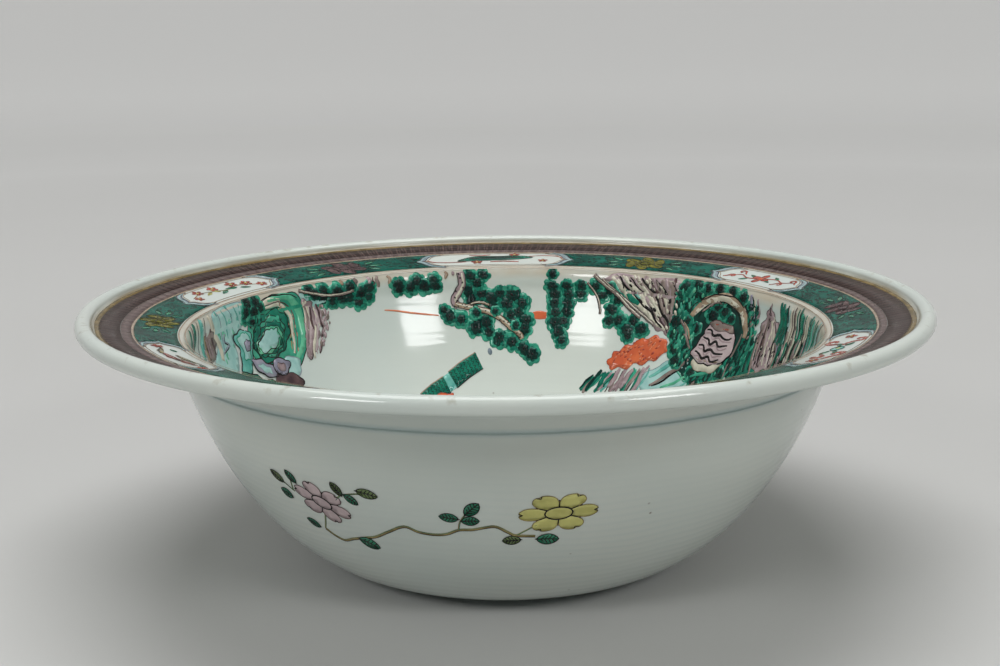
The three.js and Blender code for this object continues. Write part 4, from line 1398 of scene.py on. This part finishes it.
pineMass(drawing, [
    (43.2, 102.6, 9.2), (45.8, 104.6, 8.4), (42.2, 97.4, 9.4), (45.6, 99.2, 9.2), (41.8, 91.4, 9.6),
    (44.4, 92.8, 8.8), (42, 84.8, 9.6), (44.6, 85.8, 9.4), (42.2, 78.4, 9.6), (45.4, 78.8, 9.6), (47.6, 82.8, 8),
    (43.2, 71.4, 9.4), (46.4, 72.2, 8.8), (44.4, 65.4, 8.4), (49, 103.8, 8.4), (52.4, 104.6, 8.4), (56, 104.2, 8.4),
    (59.4, 102.8, 8.4), (51.4, 90.8, 9), (54.6, 93.4, 9.2), (52.4, 96, 7.6), (56.8, 90.6, 7), (62.4, 99, 7.4),
    (63.6, 87, 8), (62.8, 82, 8.8), (64.6, 78.8, 8.8), (63.2, 73.4, 8.8), (61.2, 68.8, 9.2), (58.4, 64.2, 8.8),
    (55, 60, 9), (51.4, 57.4, 9), (49.8, 61.4, 8)], 2)
massEdge = [(41.6, 103), (48, 105.4), (47.4, 96), (44.8, 88), (47.8, 82), (47.2, 74), (47.6, 66), (44.6, 63),
            (42, 76)]
dabs(drawing, "pine", massEdge, 34, 4.2, 4.6, 82)
dabs(drawing, "bright", massEdge, 24, 3.0, 4.9, 82)
dabs(drawing, "deep", massEdge, 30, 3.4, 5.2, 82)
lowerEdge = [(60, 100), (65.4, 99), (65.6, 88), (66.6, 78), (65, 70), (60, 62), (53, 55.6), (49, 58), (55.6, 64),
             (60.4, 72), (61.6, 84)]
dabs(drawing, "pine", lowerEdge, 34, 4.0, 4.6, 70)
dabs(drawing, "bright", lowerEdge, 22, 2.8, 4.9, 70)
dabs(drawing, "deep", lowerEdge, 30, 3.4, 5.2, 70)
dabs(drawing, "bark", lowerEdge, 8, 2.6, 5.5, 60)
dabs(drawing, "mint", massEdge, 12, 2.0, 5.6, 82)
streaks(drawing, (
    ("bark", 1.5, [(43.2, 86), (44.6, 82), (45.8, 78)]), ("tan", 1.1, [(44.2, 85), (45.6, 81), (46.8, 77)]),
    ("bark", 1.4, [(44.8, 79), (46.2, 76), (47.4, 72.4)]),
    ("ink", 0.7, [(43.4, 86), (45.2, 80.6), (46.8, 75)]), ("bright", 1.8, [(45.6, 103.6), (44.4, 98), (44.6, 92)]),
    ("bright", 1.6, [(50, 59.6), (53, 61.6), (57, 66)]), ("bright", 1.6, [(63, 92), (64.6, 85), (64, 78)])), 5.6)
streaks(drawing, (
    ("tan", 5.0, [(45.8, 88.4), (47.4, 94.6), (50.4, 98.6), (53.6, 100.6), (57, 99.6), (60.2, 94.8), (62, 88.4),
                  (62.6, 83.6)]),
    ("cream", 3.2, [(46.4, 89.4), (48.2, 95), (50.8, 98.4), (53.6, 100), (56.8, 99), (59.8, 94.4), (61.6, 88.6)])),
        6)
dabs(drawing, "bark", [(45.6, 89), (50, 98.6), (54, 100.8), (58, 99), (62, 90), (60, 90), (54, 97.6), (48.4, 92)],
     12, 1.5, 6.3, 40)
streaks(drawing, (
    ("ink", 0.7, [(44.8, 89.4), (46.4, 95.6), (50, 100.2), (54, 102.4), (58, 101), (61.6, 95), (63.6, 88)]),
    ("ink", 0.6, [(47.4, 88.6), (49, 93.6), (52, 97.4), (55.2, 98), (58.2, 94.8), (60.4, 89)]),
    ("ink", 0.5, [(49, 94.2), (50.4, 93.6)]), ("ink", 0.5, [(52.6, 98.6), (53.6, 97.2)]),
    ("ink", 0.5, [(57, 97.6), (57.4, 95.8)]),
    ("bark", 1.0, [(48.4, 91.4), (50, 95.4), (53, 97.8)])), 6.4)
wetPatch(drawing, "petal", [(51.8, 87.6), (55, 87.8), (58.2, 86.4), (60.2, 79), (58.8, 70.6), (55.6, 67.6),
                            (52, 66.4), (48.2, 69.8), (49.6, 77.6), (50.6, 83.4)], 6, "ink", 0.6)
wetPatch(drawing, "cream", [(50, 68.6), (53, 67.8), (57.8, 69.4), (56.6, 64.6), (52.6, 62.8), (49.4, 64.6)],
         5.6, "tan", 0.5)
for height in (83.4, 79.4, 75.4, 71.6):
    shift = (83.4 - height) * 0.16
    zigzag = [(51 - shift, height), (52.4 - shift, height - 0.4), (53.4 - shift, height - 2.6),
              (55 - shift, height - 1.2), (56.4 - shift, height - 3), (58.8 - shift, height - 1.6)]
    streaks(drawing, (("mauve", 1.0, [(u, h - 1.5) for u, h in zigzag]), ("ink", 1.5, zigzag)), 7)
wetPatch(drawing, "bark", [(51.6, 87.8), (54, 88.6), (58, 87.2), (58.8, 84.6), (55.6, 84), (52.2, 84.6)],
         6.8, "plum", 0.4)
dabs(drawing, "red", [(51.8, 87.4), (54.4, 88), (57.8, 86.8), (57, 85), (52.6, 85.2)], 6, 1.1, 7.6)
# streaky trees and rocks farther right, which fade into strokes under the shoulder
wetPatch(drawing, "mauve", [(69, 103), (70.6, 98.4), (72.8, 94), (75.6, 89), (79.8, 84.6), (81, 80), (78.4, 75.6),
                            (73, 72), (69.2, 70.6), (67.4, 77), (66.8, 84), (66.8, 91), (68, 98)],
         1, "ink", 0.3, 0.7)
wetPatch(drawing, "bark", [(74, 91), (80, 92.6), (87.4, 92), (86.4, 87.6), (82.4, 81.4), (77.6, 76.4), (74, 78)],
         0.2, "ink", 0, 0.7)
wetPatch(drawing, "pine", [(62, 72), (66.4, 74), (70, 72.4), (74, 74), (79, 77), (82, 76), (76, 66), (70, 60),
                           (62, 58)], 0.6, "bright", 0, 0.5)
strokesBetween(drawing, ("ink", "cream", "bark", "plum", "petal", "mauve"), ((68.4, 99), (71.2, 96)),
               ((68.4, 73.4), (78.8, 77.6)), 13, 1.3, 1.8)
streaks(drawing, (
    ("lilac", 2.6, [(61.6, 105), (62.8, 98), (63.6, 92), (62.8, 86.6)]),
    ("ink", 1.4, [(62.4, 104.4), (64, 97), (64, 90.6), (63.2, 86)]),
    ("mauve", 1.6, [(64.2, 104), (65, 98), (65, 92.4)]),
    ("cream", 1.2, [(63.2, 103.6), (63.4, 98), (63, 92)]),
    ("pine", 3.6, [(65.2, 86), (65.6, 81), (66.8, 75), (67.4, 70)]),
    ("bright", 1.0, [(64.4, 84.4), (64.8, 79), (66, 73.6)]),
    ("ink", 1.2, [(69, 101.6), (69.6, 94), (68.8, 86), (69.4, 78), (70.6, 72.8)]),
    ("cream", 1.5, [(70.4, 96), (71, 88), (70.8, 80), (72, 74.6)]),
    ("ink", 1.3, [(71.2, 95.6), (73, 89), (73.2, 82), (74, 76)]),
    ("lilac", 1.8, [(73, 90.6), (74.8, 84.6), (76, 78)]),
    ("ink", 1.0, [(75.4, 89), (77.4, 83.4), (78.2, 78)]), ("cream", 1.2, [(76.8, 86.6), (78.8, 82), (79.4, 78.6)]),
    ("bark", 2.0, [(68, 93), (67.6, 85), (68.4, 77)]),
    ("plum", 1.0, [(67.4, 90), (67.2, 83), (68.2, 75)]), ("petal", 1.2, [(72, 86), (72.4, 80), (73, 75.4)])), 2.4)
strokesBetween(drawing, ("pine", "deep", "pine", "pine", "bright"), ((72.8, 105), (76, 105.4)),
               ((73.4, 85), (77, 87)), 6, 2.4, 2.6)
strokesBetween(drawing, ("cream", "bark", "wash", "plum", "mauve"), ((76.6, 104.6), (80.4, 104.8)),
               ((77, 82), (82, 84)), 7, 1.5, 2.6)
strokesBetween(drawing, ("pine", "deep", "pine", "bright", "ink"), ((80.8, 105.2), (85, 105.4)),
               ((82, 86), (85.4, 88)), 7, 2.2, 2.6)
strokesBetween(drawing, ("bark", "cream", "mauve", "ink"), ((84.6, 104), (87.4, 104)), ((84.4, 86), (87, 88)),
               5, 1.5, 2.8)
strokesBetween(drawing, ("pine", "deep", "turquoise", "pine", "bright"), ((87.4, 104.8), (92.4, 105.2)),
               ((86.8, 88), (91, 92)), 8, 2.0, 2.6)
strokesBetween(drawing, ("turquoise", "bark", "wash", "cream", "pine"), ((92.6, 105.6), (97.6, 106.4)),
               ((91, 92), (95.4, 97)), 8, 1.5, 2.6)
strokesBetween(drawing, ("ink", "bark", "pine", "mauve", "deep", "bark", "cream"), ((74.6, 87), (87.6, 94)),
               ((74.8, 73.8), (87.4, 87)), 24, 1.7, 3.8)
strokesBetween(drawing, ("pine", "deep", "bright", "bark", "deep"), ((61.8, 86), (67.2, 84)),
               ((59.6, 62), (68.8, 70)), 13, 1.9, 3.4)
dabs(drawing, "ink", [(67.6, 88), (72, 86), (78, 83), (79, 77), (73, 73), (68.6, 74)], 20, 1.6, 5.0, 75)
dabs(drawing, "cream", [(68, 88), (72, 84), (78, 81), (77, 77), (70, 74)], 10, 1.3, 5.4, 75)
layLandscape(drawing, "rocksRight", "rocks_right")

# red foliage over a streaked bank
drawing = emptyPiece("redFoliageDrawing")
streaks(drawing, (
    ("pine", 3.6, [(20.2, 45), (22, 48.4), (23.4, 52)]), ("bright", 1.4, [(22, 45), (24, 49), (25.2, 53.4)]),
    ("pine", 2.6, [(24.2, 44.6), (25.6, 49.6), (26.2, 55)]),
    ("turquoise", 2.4, [(26, 45), (27.4, 50.4), (27.8, 56.4)]),
    ("bark", 2.6, [(28.2, 45.6), (28.8, 51), (29.6, 57)]), ("ink", 0.8, [(27, 45), (28, 50), (28.8, 56)]),
    ("mauve", 2.2, [(30.2, 46), (30.8, 52), (31.4, 57.6)]), ("bright", 3.0, [(31.8, 46), (33.2, 52), (34.2, 58)]),
    ("pine", 3.2, [(34, 46.6), (35.4, 53), (36.2, 59)]),
    ("ink", 0.8, [(32.8, 46), (34.4, 52.6), (35.2, 58)]), ("ink", 0.7, [(29.4, 46), (30.2, 51), (30.6, 56.4)]),
    ("turquoise", 1.4, [(35.6, 47), (37, 53), (38, 59.6)])), 0)
strokesBetween(drawing, ("pine", "turquoise", "deep", "bark", "mauve", "bright", "pine"), ((22.6, 53), (37.6, 60)),
               ((19.6, 44.8), (35.6, 46.8)), 15, 2.2, 0.6)
leafy = [(26.6, 57.6), (26.6, 62), (28.6, 66.4), (31.4, 70), (35, 74), (38.6, 75.6), (41, 72.4), (40.6, 67.4),
         (37.6, 63), (34, 60.4), (30, 57.4)]
wetPatch(drawing, "orange", leafy, 2, "red", 0.3, 0.6)
dabs(drawing, "red", leafy, 46, 1.6, 2.8, 40)
dabs(drawing, "coral", leafy, 40, 1.5, 3.4, 40)
layLandscape(drawing, "redFoliage", "red_foliage")

# pale water beside the foliage
drawing = emptyPiece("bankRightDrawing")
wetPatch(drawing, "wash", [(37, 49), (36.8, 56), (40.4, 61.6), (44.4, 67), (48, 71.4), (50.6, 66), (50, 58),
                           (50.4, 52), (46, 48)], 0, "grey", 0.3)
streaks(drawing, (
    ("turquoise", 2.2, [(38.4, 55), (42, 61), (46.4, 67)]),
    ("bark", 2.2, [(39, 51.4), (42.4, 56.4), (45.4, 61.6), (48, 67)]),
    ("ink", 1.2, [(39.8, 51), (43.2, 56), (46, 61)]), ("pine", 2.0, [(44, 62), (46, 65.4), (47.6, 69.4)]),
    ("red", 1.3, [(36.4, 47.8), (41, 49.4), (46, 51.4)]), ("mint", 1.6, [(42.4, 51), (46, 55), (49, 59)]),
    ("turquoise", 1.4, [(44, 49.4), (47.4, 53), (49.6, 56)])))
layLandscape(drawing, "bankRight", "bank_right")

# two green planks with rows of ticks, and a red leaf
drawing = emptyPiece("bankCentreDrawing")
segments = [((-13.9, 49.8), (-6.6, 58.8), 9.4), ((-22.6, 40.4), (-15.6, 47.8), 8.8)]
stroke(drawing, "turquoise", [spot((-16, 47.4)), spot((-14.7, 48.8)), spot((-13.5, 50.2))], 8.6, 0)
for low, high, width in segments:
    start, stop = spot(low), spot(high)
    run = math.degrees(math.atan2(stop[1] - start[1], stop[0] - start[0]))
    stroke(drawing, "pine", [start, ((start[0] + stop[0]) / 2, (start[1] + stop[1]) / 2 + 0.3), stop], width, 1)
    for row in range(8):
        at = (lerp(start[0], stop[0], (row + 0.5) / 8), lerp(start[1], stop[1], (row + 0.5) / 8))
        for offset in (-3.2, -1.1, 1.0, 3.1):
            tick = [(-0.8, offset - 0.7), (0.6, offset + draw.uniform(-0.3, 0.3)), (-0.7, offset + 0.8)]
            stroke(drawing, "ink", leanAt(tick, at, run), 0.4, 2)
    for offset, paint in ((width / 2, "tan"), (-width / 2, "ink")):
        edge = leanAt([(0, offset), (math.dist(start, stop) / 2, offset + 0.3), (math.dist(start, stop), offset)],
                      start, run)
        stroke(drawing, paint, edge, 0.5, 2)
wetPatch(drawing, "orange", [(-19.6, 42.4), (-17, 43.6), (-14.4, 43), (-16, 41), (-19, 40.6)], 3, "red", 0.3)
layLandscape(drawing, "bankCentre", "bank_centre")

for piece in tufts:
    putAway(piece)
print("landscape done")


# camera of the photograph, fitted to the rim and the wall
view = {"distance": 643.6, "rise": 10.78, "dip": 12.11, "roll": 0.6, "swing": 0.21, "focal": 50.4}


def setCamera():
    deselectAll()
    rise = view["rise"] * degree
    place = Vector((0, -view["distance"] * math.cos(rise),
                    basin["lipHeight"] + view["distance"] * math.sin(rise))) * mm
    bpy.ops.object.camera_add(location=place)
    camera = bpy.context.active_object
    camera.name = "photoCamera"
    camera.data.lens = view["focal"]
    camera.data.sensor_width = 36
    aim = Matrix.Rotation(view["swing"] * degree, 3, "Z") @ Matrix.Rotation((90 - view["dip"]) * degree, 3, "X")
    camera.rotation_euler = (aim @ Matrix.Rotation(-view["roll"] * degree, 3, "Z")).to_euler()
    bpy.context.scene.camera = camera
    bpy.context.scene.view_settings.view_transform = "Standard"


# a round pale floor that curves up into a backdrop, and soft lamps
studio = {
    "floorRadius": 3.2,
    "bend": [(3.2, 0), (3.7, 0.02), (4.1, 0.07), (4.5, 0.16), (4.9, 0.32), (5.2, 0.54), (5.4, 0.82), (5.55, 1.2),
             (5.6, 2.1)],
    "tones": ((0.60, 0.60, 0.585), (0.63, 0.63, 0.62)),
    "roughness": 0.7,
    "sky": (0.80, 0.81, 0.82),
    "ambient": 0.26,
    "glowTone": (1.0, 1.0, 0.985),
    "glow": 0.40,
    "glowSteps": ((0.66, 0.5, 2.0), (0.34, 1.9, 4.0)),
    # each lamp: its place, its width and height, and its power; all look at the same spot in the well
    "lampAim": (0, 0, 0.08),
    "lamps": {
        "topSoftbox": ((0, 0.2, 1.9), (1.7, 1.3), 27),
        "leftSoftbox": ((-1.12, -1.34, 1.10), (0.56, 0.42), 8.5),
        "rightSoftbox": ((1.12, -1.34, 1.10), (0.56, 0.42), 8.5),
    },
}


def buildStudio():
    floor = emptyPiece("paleFloor")
    bpy.ops.mesh.primitive_circle_add(vertices=96, radius=studio["floorRadius"], fill_type="NGON")
    bpy.ops.mesh.select_mode(type="EDGE")
    for (fromR, fromZ), (toR, toZ) in zip(studio["bend"], studio["bend"][1:]):
        bpy.ops.mesh.extrude_region_move(TRANSFORM_OT_translate={"value": (0, 0, toZ - fromZ)})
        bpy.ops.transform.resize(value=(toR / fromR, toR / fromR, 1), center_override=(0, 0, 0))
    closeSeams(floor, 60)
    material, tree, inputs = newMaterial("paleFloor")
    feed(tree, inputs["Base Color"], blend(tree, noise(tree, 3, 2), *studio["tones"]))
    inputs["Roughness"].default_value = studio["roughness"]
    # the far floor, which the lamps hardly reach, is lifted for the eye and for reflections only
    radius = turnPlace(tree)[1]
    rays = addNode(tree, "ShaderNodeLightPath", {}).outputs
    seen = larger(tree, rays["Is Camera Ray"], larger(tree, rays["Is Glossy Ray"], rays["Is Transmission Ray"]))
    feed(tree, inputs["Emission Color"], studio["glowTone"])
    near, far = [times(tree, ramp(tree, radius, low, high), share) for share, low, high in studio["glowSteps"]]
    lift = times(tree, plus(tree, near, far), studio["glow"])
    feed(tree, inputs["Emission Strength"], times(tree, seen, lift))
    floor.data.materials.append(material)
    for name, (place, size, power) in studio["lamps"].items():
        deselectAll()
        bpy.ops.object.light_add(type="AREA", location=place)
        lamp = bpy.context.active_object
        lamp.name = name
        lamp.data.shape = "RECTANGLE"
        lamp.data.size, lamp.data.size_y = size
        lamp.data.energy = power
        lamp.rotation_euler = (Vector(studio["lampAim"]) - lamp.location).to_track_quat("-Z", "Y").to_euler()
    world = bpy.data.worlds.new("softWorld")
    world.use_nodes = True
    sky = world.node_tree.nodes["Background"].inputs
    sky["Color"].default_value = (*studio["sky"], 1)
    sky["Strength"].default_value = studio["ambient"]
    bpy.context.scene.world = world


setCamera()
buildStudio()
print("stage set")
